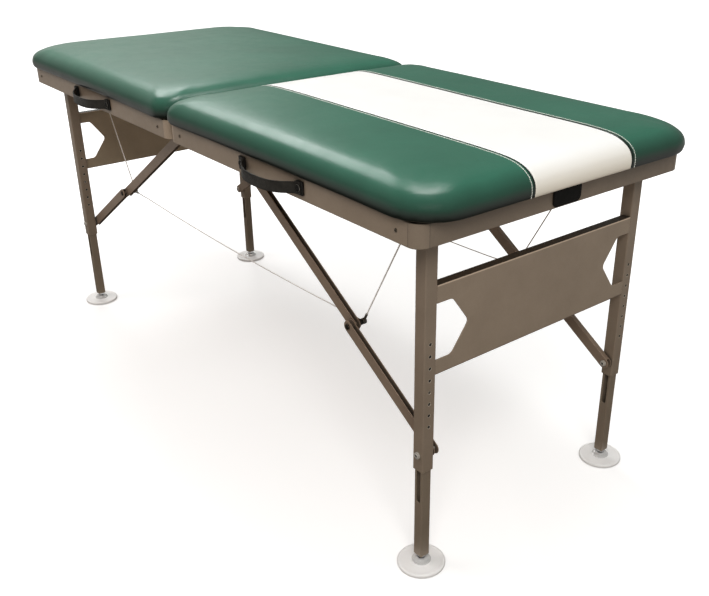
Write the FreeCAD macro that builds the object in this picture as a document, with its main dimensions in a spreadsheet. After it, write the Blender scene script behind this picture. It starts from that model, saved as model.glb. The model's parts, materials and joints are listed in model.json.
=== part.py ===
import FreeCAD, Part
import Sketcher
import math
import os
import re
from FreeCAD import Placement, Rotation, Vector

# Folding treatment table: two padded half decks joined by a centre hinge, four height
# adjusting legs in two braced pairs, and the cables that draw the braces up when it folds.
# X runs along the table, Y across it, Z up from the floor. The hinge line is at X = 0.
# Each piece is drawn once for the right back corner and mirrored to the others.

doc = FreeCAD.newDocument("treatment_table")

SIZES = [
    ("half_length", 882.0, "hinge plane to the outer face of the end rail"),
    ("deck_width", 730.0, "frame width over the side rails"),
    ("hinge_gap", 1.0, "gap between the two half frames"),
    ("frame_bottom", 732.0, "floor to the underside of the rails"),
    ("rail_height", 45.0, "rail section height"),
    ("rail_width", 22.0, "rail section width"),
    ("rail_wall", 2.0, "rail wall"),
    ("rail_edge", 1.8, "rounding of the rail edges"),
    ("corner_radius", 26.0, "outer radius of the corner castings"),
    ("spigot_length", 40.0, "length of a casting's spigot inside the rail"),
    ("spigot_root", 2.0, "spigot length buried in the casting"),
    ("spigot_clearance", 0.25, "play of the spigot in the rail"),
    ("board_thickness", 8.0, "plywood deck board"),
    ("board_inset", 6.0, "board edge inside the frame edge"),
    ("board_corner_radius", 50.0, "plan radius of the board corners"),
    ("board_clearance", 0.3, "play between board and cushion"),
    ("rail_screw_inset", 56.0, "rail screw to the end of the half frame"),
    ("screw_radius", 2.0, "screw shank radius"),
    ("screw_clearance", 0.1, "radial play of screws and rivets"),
    ("screw_length", 9.0, "rail screw length under the head"),
    ("screw_head_radius", 3.2, "screw head radius"),
    ("screw_head_height", 1.2, "screw head height"),
    ("deck_screw_inset", 230.0, "deck screws to the end of the half frame"),
    ("deck_screw_bite", 5.0, "deck screw length in the board"),
    ("cushion_height", 65.0, "cushion height above the rails"),
    ("cushion_side_overhang", 16.0, "cushion beyond the side rails"),
    ("cushion_end_overhang", 32.0, "cushion beyond the end rail"),
    ("cushion_gap", 1.4, "gap between the two cushions at the hinge"),
    ("cushion_seat", 0.3, "play between cushion and rails"),
    ("cushion_corner_radius", 92.0, "plan radius of the outer corners"),
    ("cushion_hinge_radius", 48.0, "plan radius of the corners at the hinge"),
    ("cushion_waist", 2.5, "how far the sides are drawn in between corners"),
    ("leg_inset_x", 60.0, "leg centre to the outer face of the end rail"),
    ("leg_inset_y", 74.0, "leg centre to the outer face of the side rail"),
    ("leg_size", 28.6, "outer leg tube section"),
    ("leg_wall", 2.5, "outer leg tube wall"),
    ("leg_edge", 2.6, "rounding of the outer tube edges"),
    ("leg_bottom", 238.0, "floor to the mouth of the outer tube"),
    ("leg_pivot_drop", 23.0, "leg pivot below the top of the frame"),
    ("leg_pivot_overrun", 14.0, "outer tube above its pivot"),
    ("pivot_pin_radius", 4.0, "leg pivot pin radius"),
    ("pin_clearance", 0.05, "radial play of the pins"),
    ("pin_head_radius", 6.5, "pivot pin head radius"),
    ("pin_head_height", 3.0, "pivot pin head height"),
    ("adjust_hole_radius", 3.5, "height holes in the outer tube"),
    ("adjust_hole_pitch", 25.4, "distance between height holes"),
    ("adjust_hole_count", 8, "number of height holes"),
    ("lowest_hole_rise", 102.2, "lowest height hole above the mouth of the tube"),
    ("lock_hole_number", 4, "height hole in use, counted from the lowest"),
    ("leg_bolt_rise", 36.0, "bolt through leg and brace above the mouth of the tube"),
    ("leg_bolt_radius", 3.0, "leg bolt radius"),
    ("bolt_head_radius", 7.2, "leg bolt head and nut radius"),
    ("bolt_head_height", 3.6, "leg bolt head height"),
    ("inner_size", 23.0, "inner leg tube section"),
    ("inner_wall", 1.8, "inner leg tube wall"),
    ("inner_edge", 2.0, "rounding of the inner tube edges"),
    ("inner_lift", 17.0, "end of the inner tube above the foot disc"),
    ("inner_headroom", 29.6, "inner tube above the height hole in use"),
    ("slot_width", 11.4, "slots of the inner tube round the leg bolt"),
    ("slot_spare", 7.0, "slot beyond the lowest place of the leg bolt"),
    ("steps_up", 4, "height steps the leg can be shortened"),
    ("steps_down", 3, "height steps the leg can be lengthened"),
    ("button_radius", 3.3, "snap button radius"),
    ("button_tip", 0.15, "snap button tip beyond the inner tube face"),
    ("leaf_thickness", 0.8, "spring leaf behind the button"),
    ("leaf_width", 12.0, "spring leaf width"),
    ("leaf_length", 40.0, "spring leaf length"),
    ("leaf_gap", 0.3, "play behind the spring leaf"),
    ("foot_radius", 50.0, "foot disc radius"),
    ("foot_thickness", 9.0, "foot disc thickness"),
    ("foot_edge", 2.5, "rounding of the foot disc rim"),
    ("cap_radius", 19.5, "socket cap radius"),
    ("cap_top_radius", 13.0, "socket cap radius at its top"),
    ("cap_height", 8.0, "socket cap height"),
    ("cap_round", 2.5, "rounding of the socket cap"),
    ("cap_mouth_radius", 6.4, "hole in the socket cap round the stud"),
    ("ball_radius", 6.5, "ball at the end of the foot stud"),
    ("ball_clearance", 0.3, "play of the ball in its socket"),
    ("stud_radius", 4.0, "foot stud radius"),
    ("stud_collar_radius", 8.5, "collar of the stud under the inner tube"),
    ("stud_collar_height", 5.5, "height of that collar"),
    ("plug_height", 14.0, "threaded plug in the end of the inner tube"),
    ("plug_clearance", 0.1, "play of the plug in the tube"),
    ("panel_drop", 100.0, "top edge of the end panel below the rails"),
    ("panel_height", 182.0, "end panel height"),
    ("panel_thickness", 2.0, "end panel sheet"),
    ("flange_depth", 20.0, "top flange of the end panel"),
    ("cutout_margin_top", 36.0, "strip above the end cutouts"),
    ("cutout_margin_bottom", 31.0, "strip below the end cutouts"),
    ("cutout_shoulder", 38.0, "leg to the shoulders of a cutout"),
    ("cutout_depth", 80.0, "leg to the tip of a cutout"),
    ("cutout_round", 16.0, "rounding in the cutout's shoulders"),
    ("cutout_tip_round", 12.0, "rounding in the cutout's tip"),
    ("brace_pivot_x", 60.0, "hinge plane to the upper brace pivot"),
    ("brace_pivot_drop", 23.0, "upper brace pivot below the top of the frame"),
    ("lower_arm_length", 309.8, "leg bolt to brace knuckle"),
    ("arm_height", 25.4, "brace channel height"),
    ("arm_width", 12.0, "brace channel width"),
    ("arm_wall", 1.6, "brace channel wall"),
    ("arm_gap", 0.6, "gap between upper and lower brace arm"),
    ("brace_standoff", 3.0, "gap between leg and lower brace arm"),
    ("brace_pin_radius", 3.0, "upper brace pivot pin radius"),
    ("rivet_radius", 4.0, "knuckle rivet radius"),
    ("rivet_head_radius", 6.5, "knuckle rivet head radius"),
    ("rivet_head_height", 2.2, "knuckle rivet head height"),
    ("cable_post_radius", 3.5, "cable post on the knuckle"),
    ("cable_post_length", 22.0, "cable post length beyond the upper arm"),
    ("post_collar_radius", 6.0, "collar at the end of the cable post"),
    ("post_collar_width", 3.0, "width of the collar"),
    ("bracket_wall", 3.0, "sheet of the pivot brackets"),
    ("bracket_clearance", 0.4, "play of leg or arm in its bracket"),
    ("bracket_half_height", 16.0, "leg bracket above and below the pivot"),
    ("bracket_reach", 15.0, "bracket beyond the pivot"),
    ("handle_span", 208.0, "distance between the handle's end plates"),
    ("handle_bow", 40.0, "handle strap beyond the side rail"),
    ("handle_drop", 20.0, "middle of the handle below the top of the frame"),
    ("strap_width", 25.0, "handle strap width"),
    ("strap_thickness", 4.0, "handle strap thickness"),
    ("handle_plate_length", 15.0, "end plate length"),
    ("handle_plate_height", 30.0, "end plate height"),
    ("handle_plate_thickness", 5.0, "end plate thickness"),
    ("handle_screw_radius", 6.8, "cover of the handle screws"),
    ("handle_screw_height", 2.4, "height of that cover"),
    ("cable_radius", 1.6, "brace cable radius"),
    ("cable_anchor_x", 745.0, "hinge plane to the short cable's anchor"),
    ("cable_anchor_drop", 9.0, "cable anchor below the board"),
    ("cable_anchor_radius", 4.0, "cable anchor radius"),
    ("cable_sag", 12.0, "sag of the long cable"),
    ("barrel_radius", 3.2, "centre hinge barrel radius"),
    ("hinge_pin_radius", 1.6, "centre hinge pin radius"),
    ("leaf_plate", 1.5, "centre hinge leaf thickness"),
    ("leaf_plate_width", 21.0, "centre hinge leaf width"),
    ("hinge_length", 660.0, "centre hinge length"),
    ("knuckle_pairs", 5, "knuckles on each leaf of the centre hinge"),
    ("knuckle_gap", 0.4, "gap between hinge knuckles"),
    ("tab_width", 78.0, "closure tab width"),
    ("tab_length", 41.0, "closure tab length"),
    ("tab_thickness", 2.6, "closure tab thickness"),
    ("tab_corner", 11.0, "rounding of the tab's lower corners"),
    ("tab_gap", 0.4, "gap between tab and end rail"),
    ("cut_overrun", 2.0, "how far cutting solids pass their faces"),
]

PLACES = [
    ("frame_top", "frame_bottom + rail_height"),
    ("half_width", "deck_width / 2"),
    ("frame_start", "hinge_gap / 2"),
    ("side_rail_start", "frame_start + corner_radius"),
    ("side_rail_length", "half_length - corner_radius - side_rail_start"),
    ("end_rail_inner", "half_length - rail_width"),
    ("corner_x", "half_length - corner_radius"),
    ("corner_y", "half_width - corner_radius"),
    ("half_middle", "(half_length + frame_start) / 2"),
    ("leg_x", "half_length - leg_inset_x"),
    ("leg_y", "half_width - leg_inset_y"),
    ("leg_outer_y", "leg_y + leg_size / 2"),
    ("leg_inner_y", "leg_y - leg_size / 2"),
    ("leg_pivot_height", "frame_top - leg_pivot_drop"),
    ("leg_top", "leg_pivot_height + leg_pivot_overrun"),
    ("lowest_hole_height", "leg_bottom + lowest_hole_rise"),
    ("lock_height", "lowest_hole_height + (lock_hole_number - 1) * adjust_hole_pitch"),
    ("leg_bolt_height", "leg_bottom + leg_bolt_rise"),
    ("inner_bottom", "foot_thickness + inner_lift"),
    ("inner_top", "lock_height + inner_headroom"),
    ("panel_top", "frame_bottom - panel_drop"),
    ("panel_bottom", "panel_top - panel_height"),
    ("cutout_top", "panel_top - cutout_margin_top"),
    ("cutout_bottom", "panel_bottom + cutout_margin_bottom"),
    ("brace_pivot_height", "frame_top - brace_pivot_drop"),
    ("handle_height", "frame_top - handle_drop"),
    ("slot_bottom", "leg_bolt_height - steps_up * adjust_hole_pitch - slot_width / 2"
     " - slot_spare"),
    ("slot_top", "leg_bolt_height + steps_down * adjust_hole_pitch + slot_width / 2"),
    ("inner_bore_half", "inner_size / 2 - inner_wall"),
    ("lower_arm_y", "leg_inner_y - brace_standoff - arm_width"),
    ("upper_arm_y", "lower_arm_y - arm_gap - arm_width"),
    ("upper_arm_middle_y", "upper_arm_y + arm_width / 2"),
    ("brace_rise", "brace_pivot_height - leg_bolt_height"),
    ("brace_run", "leg_x - brace_pivot_x"),
    ("brace_length", "sqrt(brace_rise ^ 2 + brace_run ^ 2)"),
    ("upper_arm_length", "brace_length - lower_arm_length"),
    ("knuckle_x", "leg_x - lower_arm_length * brace_run / brace_length"),
    ("knuckle_z", "leg_bolt_height + lower_arm_length * brace_rise / brace_length"),
    ("post_end_y", "upper_arm_y - cable_post_length"),
    ("cable_y", "post_end_y + post_collar_width + cable_radius"),
    ("panel_outer_x", "leg_x + leg_size / 2"),
    ("panel_inner_x", "panel_outer_x - panel_thickness"),
    ("cutout_middle", "(cutout_top + cutout_bottom) / 2"),
    ("cutout_shoulder_y", "leg_inner_y - cutout_shoulder"),
    ("cutout_tip_y", "leg_inner_y - cutout_depth"),
    ("handle_x", "half_middle"),
    ("strap_radius", "(handle_span ^ 2 / 4 + handle_bow ^ 2) / (2 * handle_bow)"),
    ("hinge_axis_z", "frame_bottom - barrel_radius"),
    ("knuckle_length", "hinge_length / (2 * knuckle_pairs)"),
    ("foot_half_edge", "foot_edge / 2"),
    ("cap_top", "foot_thickness + cap_height"),
    ("cap_waist", "foot_thickness + cap_height / 3"),
    ("tab_top", "frame_top - tab_gap - cushion_seat"),
    ("tab_bottom", "tab_top - tab_length"),
    ("tab_half_width", "tab_width / 2"),
]

# Section heights as shares of the cushion's height, and how far each section lies inside
# the outline, as shares of the same height: tucked under, full, rolled over, crowned.
CUSHION_HEIGHT_SHARES = [0.0, 0.12, 0.35, 0.6, 0.8, 0.93, 1.0]
CUSHION_INSET_SHARES = [0.09, 0.015, 0.002, 0.05, 0.24, 0.6, 1.25]
CORNER_SWING_SHARE = 0.5

sheet = doc.addObject("Spreadsheet::Sheet", "sizes")
for row, (alias, amount, words) in enumerate(SIZES, start=1):
    sheet.set("A%d" % row, words)
    sheet.set("B%d" % row, str(amount))
    sheet.setAlias("B%d" % row, alias)
doc.recompute()

places = doc.addObject("App::FeaturePython", "places")
SIZE_NAMES = {alias for alias, amount, words in SIZES}
PLACE_NAMES = {name for name, formula in PLACES}


def qualified(formula):
    """Point each plain name in a formula at the sheet or at the worked-out places."""
    def owner(match):
        word = match.group(0)
        if word in SIZE_NAMES:
            return "sizes." + word
        if word in PLACE_NAMES:
            return "places." + word
        return word
    return re.sub(r"[a-z_][a-z_0-9]*", owner, formula)


for name, formula in PLACES:
    places.addProperty("App::PropertyFloat", name)
    places.setExpression(name, qualified(formula))
doc.recompute()


def amount(name):
    """The number behind a size or a worked-out place."""
    if name in SIZE_NAMES:
        return float(sheet.get(name))
    return float(getattr(places, name))


AXIS_TURNS = {
    "x": Rotation(Vector(0, 1, 0), 90),
    "y": Rotation(Vector(1, 0, 0), -90),
    "z": Rotation(),
}


def bind(obj, **formulas):
    """Bind properties to formulas; two underscores stand for a dot."""
    for path, formula in formulas.items():
        obj.setExpression(path.replace("__", "."), qualified(formula))


def place(obj, x, y, z):
    bind(obj, Placement__Base__x=x, Placement__Base__y=y, Placement__Base__z=z)


def box(name, x, y, z, dx, dy, dz):
    obj = doc.addObject("Part::Box", name)
    bind(obj, Length=dx, Width=dy, Height=dz)
    place(obj, x, y, z)
    return obj


def cylinder(name, axis, x, y, z, radius, length, start_turn=None):
    """A cylinder along an axis; with start_turn it is the quarter that starts there."""
    obj = doc.addObject("Part::Cylinder", name)
    obj.Placement = Placement(Vector(), AXIS_TURNS[axis])
    if start_turn is not None:
        obj.Angle = 90
        obj.Placement = Placement(Vector(), Rotation(Vector(0, 0, 1), start_turn))
    bind(obj, Radius=radius, Height=length)
    place(obj, x, y, z)
    return obj


def group(name, pieces):
    obj = doc.addObject("Part::Compound", name)
    obj.Links = pieces
    return obj


def fuse(name, pieces):
    obj = doc.addObject("Part::MultiFuse", name)
    obj.Shapes = pieces
    obj.Refine = True
    return obj


def cut(name, base, tools):
    obj = doc.addObject("Part::Cut", name)
    obj.Base = base
    obj.Tool = tools[0] if len(tools) == 1 else group(name + "_cutters", tools)
    obj.Refine = True
    return obj


def mirror(name, source, axis, base_x=None):
    obj = doc.addObject("Part::Mirroring", name)
    obj.Source = source
    obj.Normal = Vector(1, 0, 0) if axis == "x" else Vector(0, 1, 0)
    if base_x:
        bind(obj, Base__x=base_x)
    return obj


def both(name, piece):
    """The same piece at the back and at the front."""
    return group(name, [piece, mirror(name + "_front", piece, "y")])


def rounded_bar(name, axis, x, y, z, dx, dy, dz, edge):
    """A bar along an axis whose four long edges are rounded."""
    ends = {"x": (dy, dz), "y": (dx, dz), "z": (dx, dy)}[axis]
    wide, high = ends
    inner_wide = "%s - 2 * %s" % (wide, edge)
    inner_high = "%s - 2 * %s" % (high, edge)
    if axis == "x":
        cores = [box(name + "_a", x, "%s + %s" % (y, edge), z, dx, inner_wide, dz),
                 box(name + "_b", x, y, "%s + %s" % (z, edge), dx, dy, inner_high)]
        corners = [(x, "%s + %s" % (y, v), "%s + %s" % (z, w))
                   for v in (edge, wide + " - " + edge) for w in (edge, high + " - " + edge)]
        length = dx
    elif axis == "y":
        cores = [box(name + "_a", "%s + %s" % (x, edge), y, z, inner_wide, dy, dz),
                 box(name + "_b", x, y, "%s + %s" % (z, edge), dx, dy, inner_high)]
        corners = [("%s + %s" % (x, v), y, "%s + %s" % (z, w))
                   for v in (edge, wide + " - " + edge) for w in (edge, high + " - " + edge)]
        length = dy
    else:
        cores = [box(name + "_a", "%s + %s" % (x, edge), y, z, inner_wide, dy, dz),
                 box(name + "_b", x, "%s + %s" % (y, edge), z, dx, inner_high, dz)]
        corners = [("%s + %s" % (x, v), "%s + %s" % (y, w), z)
                   for v in (edge, wide + " - " + edge) for w in (edge, high + " - " + edge)]
        length = dz
    rounds = [cylinder("%s_edge%d" % (name, i), axis, cx, cy, cz, edge, length)
              for i, (cx, cy, cz) in enumerate(corners)]
    return fuse(name, cores + rounds)


def rail(name, axis, x, y, z, dx, dy, dz):
    """A hollow rail with rounded edges."""
    outer = rounded_bar(name + "_outer", axis, x, y, z, dx, dy, dz, "rail_edge")
    wall = {"x": ("0", "1", "1"), "y": ("1", "0", "1")}[axis]
    start = ["%s + %s * rail_wall - %s * cut_overrun" % (p, w, "1" if w == "0" else "0")
             for p, w in zip((x, y, z), wall)]
    size = ["%s - 2 * %s * rail_wall + 2 * %s * cut_overrun" % (d, w, "1" if w == "0" else "0")
            for d, w in zip((dx, dy, dz), wall)]
    return outer, box(name + "_bore", *start, *size)


def outline_sketch(owner, name, plane, corners):
    """A closed outline through named corners, some of them rounded, in a plane of a body.

    Each corner is (first coordinate, second coordinate, rounding or None).
    """
    sketch = owner.newObject("Sketcher::SketchObject", name)
    origin = [item for item in owner.Origin.OriginFeatures if item.Role == plane][0]
    sketch.AttachmentSupport = [(origin, "")]
    sketch.MapMode = "FlatFace"
    return fill_outline(sketch, corners)


def signed_amount(text):
    return -amount(text[1:]) if text.startswith("-") else amount(text)


def fill_outline(sketch, corners):
    count = len(corners)
    spots = []
    for first, second, rounding in corners:
        u = 0.0 if first == "0" else signed_amount(first)
        v = 0.0 if second == "0" else signed_amount(second)
        spots.append(Vector(u, v, 0))
    trims = []
    for i, (first, second, rounding) in enumerate(corners):
        before = (spots[i - 1] - spots[i]).normalize()
        after = (spots[(i + 1) % count] - spots[i]).normalize()
        if rounding is None:
            trims.append((spots[i], spots[i], None))
            continue
        half_turn = before.getAngle(after) / 2
        reach = amount(rounding) / math.tan(half_turn)
        centre = spots[i] + (before + after).normalize() * (amount(rounding) / math.sin(half_turn))
        trims.append((spots[i] + before * reach, spots[i] + after * reach, centre))
    lines = []
    for i in range(count):
        lines.append(sketch.addGeometry(
            Part.LineSegment(trims[i][1], trims[(i + 1) % count][0]), False))
    for i, (first, second, rounding) in enumerate(corners):
        line_in = lines[i - 1]
        line_out = lines[i]
        if rounding is None:
            sketch.addConstraint(Sketcher.Constraint("Coincident", line_in, 2, line_out, 1))
            held, end = line_out, 1
        else:
            held, end = corner_arc(sketch, trims[i], spots[i], line_in, line_out, rounding)
        pin_corner(sketch, held, end, first, second)
    return sketch


def corner_arc(sketch, trim, spot, line_in, line_out, rounding):
    start, stop, centre = trim
    circle_middle = centre + (spot - centre).normalize() * amount(rounding)
    arc = sketch.addGeometry(Part.Arc(start, circle_middle, stop), False)
    turning_left = (spot - start).cross(stop - spot).z > 0
    first_end, last_end = (1, 2) if turning_left else (2, 1)
    sketch.addConstraint(Sketcher.Constraint("Tangent", line_in, 2, arc, first_end))
    sketch.addConstraint(Sketcher.Constraint("Tangent", line_out, 1, arc, last_end))
    radius = sketch.addConstraint(Sketcher.Constraint("Radius", arc, amount(rounding)))
    sketch.setExpression("Constraints[%d]" % radius, qualified(rounding))
    marker = sketch.addGeometry(Part.Point(spot), True)
    sketch.addConstraint(Sketcher.Constraint("PointOnObject", marker, 1, line_in))
    sketch.addConstraint(Sketcher.Constraint("PointOnObject", marker, 1, line_out))
    return marker, 1


def pin_corner(sketch, held, end, first, second):
    """Fix a corner's two coordinates from the sketch's origin."""
    for kind, text, axis in (("DistanceX", first, -2), ("DistanceY", second, -1)):
        if text == "0":
            sketch.addConstraint(Sketcher.Constraint("PointOnObject", held, end, axis))
            continue
        index = sketch.addConstraint(
            Sketcher.Constraint(kind, -1, 1, held, end, signed_amount(text)))
        sketch.setExpression("Constraints[%d]" % index, qualified(text))


nodes = []


def node(label, obj):
    obj.Label = label
    nodes.append(obj)
    return obj


def node_and_mirror(label, obj):
    """A piece of the right half and its mirror image on the left half."""
    node("right_" + label, obj)
    node("left_" + label, mirror("left_%s_mirror" % label, obj, "x"))


def four_nodes(label, obj, same_way=False):
    """A piece at the right back corner and its images at the other three.

    With same_way the left pieces face along X as the right ones do.
    """
    front = mirror("right_front_%s_mirror" % label, obj, "y")
    node("right_back_" + label, obj)
    node("right_front_" + label, front)
    if same_way:
        obj = mirror(label + "_turned", obj, "x", "leg_x")
        front = mirror(label + "_turned_front", obj, "y")
    node("left_back_" + label, mirror("left_back_%s_mirror" % label, obj, "x"))
    node("left_front_" + label, mirror("left_front_%s_mirror" % label, front, "x"))


def make_rails():
    screw_bore = "screw_radius + screw_clearance"
    outer, bore = rail("side_rail", "x", "side_rail_start", "half_width - rail_width",
                       "frame_bottom", "side_rail_length", "rail_width", "rail_height")
    holes = []
    for tag, x in (("outer", "half_length - rail_screw_inset"),
                   ("hinge", "frame_start + rail_screw_inset")):
        holes.append(cylinder("rail_hole_" + tag, "y", x, "half_width - rail_wall - cut_overrun",
                              "frame_bottom + rail_height / 2", screw_bore,
                              "rail_wall + 2 * cut_overrun"))
    for tag, x in (("outer", "half_length - deck_screw_inset"),
                   ("hinge", "frame_start + deck_screw_inset")):
        holes.append(cylinder("deck_hole_" + tag, "z", x, "half_width - rail_width / 2",
                              "frame_bottom - cut_overrun", screw_bore,
                              "rail_height + 2 * cut_overrun"))
    side = cut("side_rail_tube", outer, [bore] + holes)
    node_and_mirror("side_rails", both("side_rails_pair", side))

    for label, x in (("end_rail", "end_rail_inner"), ("hinge_rail", "frame_start")):
        outer, bore = rail(label, "y", x, "-corner_y", "frame_bottom",
                           "rail_width", "2 * corner_y", "rail_height")
        node_and_mirror(label, cut(label + "_tube", outer, [bore]))


def make_corner_connectors():
    """A quarter round casting whose spigots enter the side rail and the cross rail."""
    quarter = [
        cylinder("corner_low", "z", "corner_x", "corner_y", "frame_bottom + rail_edge",
                 "corner_radius", "rail_height - 2 * rail_edge", 0),
        cylinder("corner_core", "z", "corner_x", "corner_y", "frame_bottom",
                 "corner_radius - rail_edge", "rail_height", 0),
    ]
    for tag, z in (("bottom", "frame_bottom + rail_edge"), ("top", "frame_top - rail_edge")):
        ring = doc.addObject("Part::Torus", "corner_round_" + tag)
        ring.Angle3 = 90
        bind(ring, Radius1="corner_radius - rail_edge", Radius2="rail_edge")
        place(ring, "corner_x", "corner_y", z)
        quarter.append(ring)
    casting = cut("corner_casting", fuse("corner_quarter", quarter), [
        cylinder("corner_hollow", "z", "corner_x", "corner_y", "frame_bottom - cut_overrun",
                 "corner_radius - rail_width", "rail_height + 2 * cut_overrun")])
    inside = "rail_wall + spigot_clearance"
    spigot_wide = "rail_width - 2 * (%s)" % inside
    spigot_high = "rail_height - 2 * (%s)" % inside
    side_spigot = box("side_spigot", "corner_x - spigot_length",
                      "half_width - rail_width + " + inside, "frame_bottom + " + inside,
                      "spigot_length + spigot_root", spigot_wide, spigot_high)
    cross_spigot = box("cross_spigot", "end_rail_inner + " + inside,
                       "corner_y - spigot_length", "frame_bottom + " + inside,
                       spigot_wide, "spigot_length + spigot_root", spigot_high)
    screw_room = cylinder("spigot_screw_room", "y", "half_length - rail_screw_inset",
                          "half_width - screw_length - cut_overrun",
                          "frame_bottom + rail_height / 2",
                          "screw_radius + screw_clearance", "screw_length + cut_overrun")
    corner = cut("corner_connector", fuse("corner_with_spigots",
                                          [casting, side_spigot, cross_spigot]), [screw_room])
    outer_pair = both("outer_corners", corner)
    hinge_pair = mirror("hinge_corners", outer_pair, "x", "half_middle")
    node_and_mirror("corner_connectors", group("corner_connectors", [outer_pair, hinge_pair]))


def screw(name, axis, x, y, z, length, head_at_start):
    """A screw along an axis; its head is outside the start or the end of the shank."""
    shank = cylinder(name + "_shank", axis, x, y, z, "screw_radius", length)
    spots = {"x": 0, "y": 1, "z": 2}
    head_place = [x, y, z]
    offset = "- screw_head_height" if head_at_start else "+ " + length
    head_place[spots[axis]] = "%s %s" % (head_place[spots[axis]], offset)
    head = cylinder(name + "_head", axis, *head_place, "screw_head_radius", "screw_head_height")
    return fuse(name, [shank, head])


def headed_pin(name, x, y, z, radius, length):
    """A pin along Y with a head at each end."""
    parts = [cylinder(name + "_shank", "y", x, y, z, radius, length)]
    parts.append(cylinder(name + "_head", "y", x, "%s + %s" % (y, length), z,
                          "pin_head_radius", "pin_head_height"))
    parts.append(cylinder(name + "_nut", "y", x, "%s - pin_head_height" % y, z,
                          "pin_head_radius", "pin_head_height"))
    return fuse(name, parts)


LEG_CHEEK = "leg_size / 2 + bracket_clearance + bracket_wall"
ARM_CHEEK = "arm_width / 2 + bracket_clearance + bracket_wall"


def make_fasteners():
    pieces = []
    for tag, x in (("outer", "half_length - rail_screw_inset"),
                   ("hinge", "frame_start + rail_screw_inset")):
        pieces.append(screw("rail_screw_" + tag, "y", x, "half_width - screw_length",
                            "frame_bottom + rail_height / 2", "screw_length", False))
    for tag, x in (("outer", "half_length - deck_screw_inset"),
                   ("hinge", "frame_start + deck_screw_inset")):
        pieces.append(screw("deck_screw_" + tag, "z", x, "half_width - rail_width / 2",
                            "frame_bottom", "rail_height + deck_screw_bite", True))
    pieces.append(headed_pin("leg_pivot_pin", "leg_x", "leg_y - (%s)" % LEG_CHEEK,
                             "leg_pivot_height", "pivot_pin_radius", "2 * (%s)" % LEG_CHEEK))
    pieces.append(headed_pin("brace_pivot_pin", "brace_pivot_x",
                             "upper_arm_middle_y - (%s)" % ARM_CHEEK, "brace_pivot_height",
                             "brace_pin_radius", "2 * (%s)" % ARM_CHEEK))
    node_and_mirror("deck_fasteners", both("deck_fasteners", group("fastener_set", pieces)))


def make_pivot_brackets():
    """A channel bracket on the end rail for each leg, one on the hinge rail for each brace."""
    leg_start = "leg_x - bracket_reach"
    outer = box("leg_bracket_block", leg_start, "leg_y - (%s)" % LEG_CHEEK,
                "leg_pivot_height - bracket_half_height", "end_rail_inner - (%s)" % leg_start,
                "2 * (%s)" % LEG_CHEEK, "2 * bracket_half_height")
    room = box("leg_bracket_room", leg_start + " - cut_overrun",
               "leg_y - leg_size / 2 - bracket_clearance",
               "leg_pivot_height - bracket_half_height - cut_overrun",
               "end_rail_inner - bracket_wall - (%s) + cut_overrun" % leg_start,
               "leg_size + 2 * bracket_clearance", "2 * (bracket_half_height + cut_overrun)")
    bore = cylinder("leg_bracket_bore", "y", "leg_x", "leg_y - leg_size - cut_overrun",
                    "leg_pivot_height", "pivot_pin_radius + pin_clearance",
                    "2 * (leg_size + cut_overrun)")
    leg_bracket = cut("leg_bracket", outer, [room, bore])

    arm_start = "frame_start + rail_width"
    arm_end = "brace_pivot_x + bracket_reach - bracket_wall"
    low = "brace_pivot_height - bracket_half_height"
    outer = box("brace_bracket_block", arm_start, "upper_arm_middle_y - (%s)" % ARM_CHEEK, low,
                "%s - (%s)" % (arm_end, arm_start), "2 * (%s)" % ARM_CHEEK,
                "2 * bracket_half_height")
    room = box("brace_bracket_room", arm_start + " + bracket_wall",
               "upper_arm_y - bracket_clearance", low + " - cut_overrun",
               "%s - (%s)" % (arm_end, arm_start), "arm_width + 2 * bracket_clearance",
               "2 * (bracket_half_height + cut_overrun)")
    bore = cylinder("brace_bracket_bore", "y", "brace_pivot_x",
                    "upper_arm_y - arm_width", "brace_pivot_height",
                    "brace_pin_radius + pin_clearance", "3 * arm_width")
    brace_bracket = cut("brace_bracket", outer, [room, bore])
    node_and_mirror("pivot_brackets",
                    both("pivot_brackets", group("bracket_set", [leg_bracket, brace_bracket])))


def make_deck_board():
    """A plywood board on the rails, blind holes for its screws from below."""
    board = rounded_bar("board_blank", "z", "frame_start + board_inset",
                        "board_inset - half_width", "frame_top",
                        "(half_length - frame_start - 2 * board_inset)",
                        "(deck_width - 2 * board_inset)", "board_thickness",
                        "board_corner_radius")
    holes = []
    for tag, x in (("outer", "half_length - deck_screw_inset"),
                   ("hinge", "frame_start + deck_screw_inset")):
        for side, sign in (("back", ""), ("front", "-")):
            holes.append(cylinder("board_hole_%s_%s" % (tag, side), "z", x,
                                  sign + "(half_width - rail_width / 2)",
                                  "frame_top - cut_overrun", "screw_radius + screw_clearance",
                                  "deck_screw_bite + cut_overrun + screw_clearance"))
    node_and_mirror("deck_board", cut("deck_board", board, holes))


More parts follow.
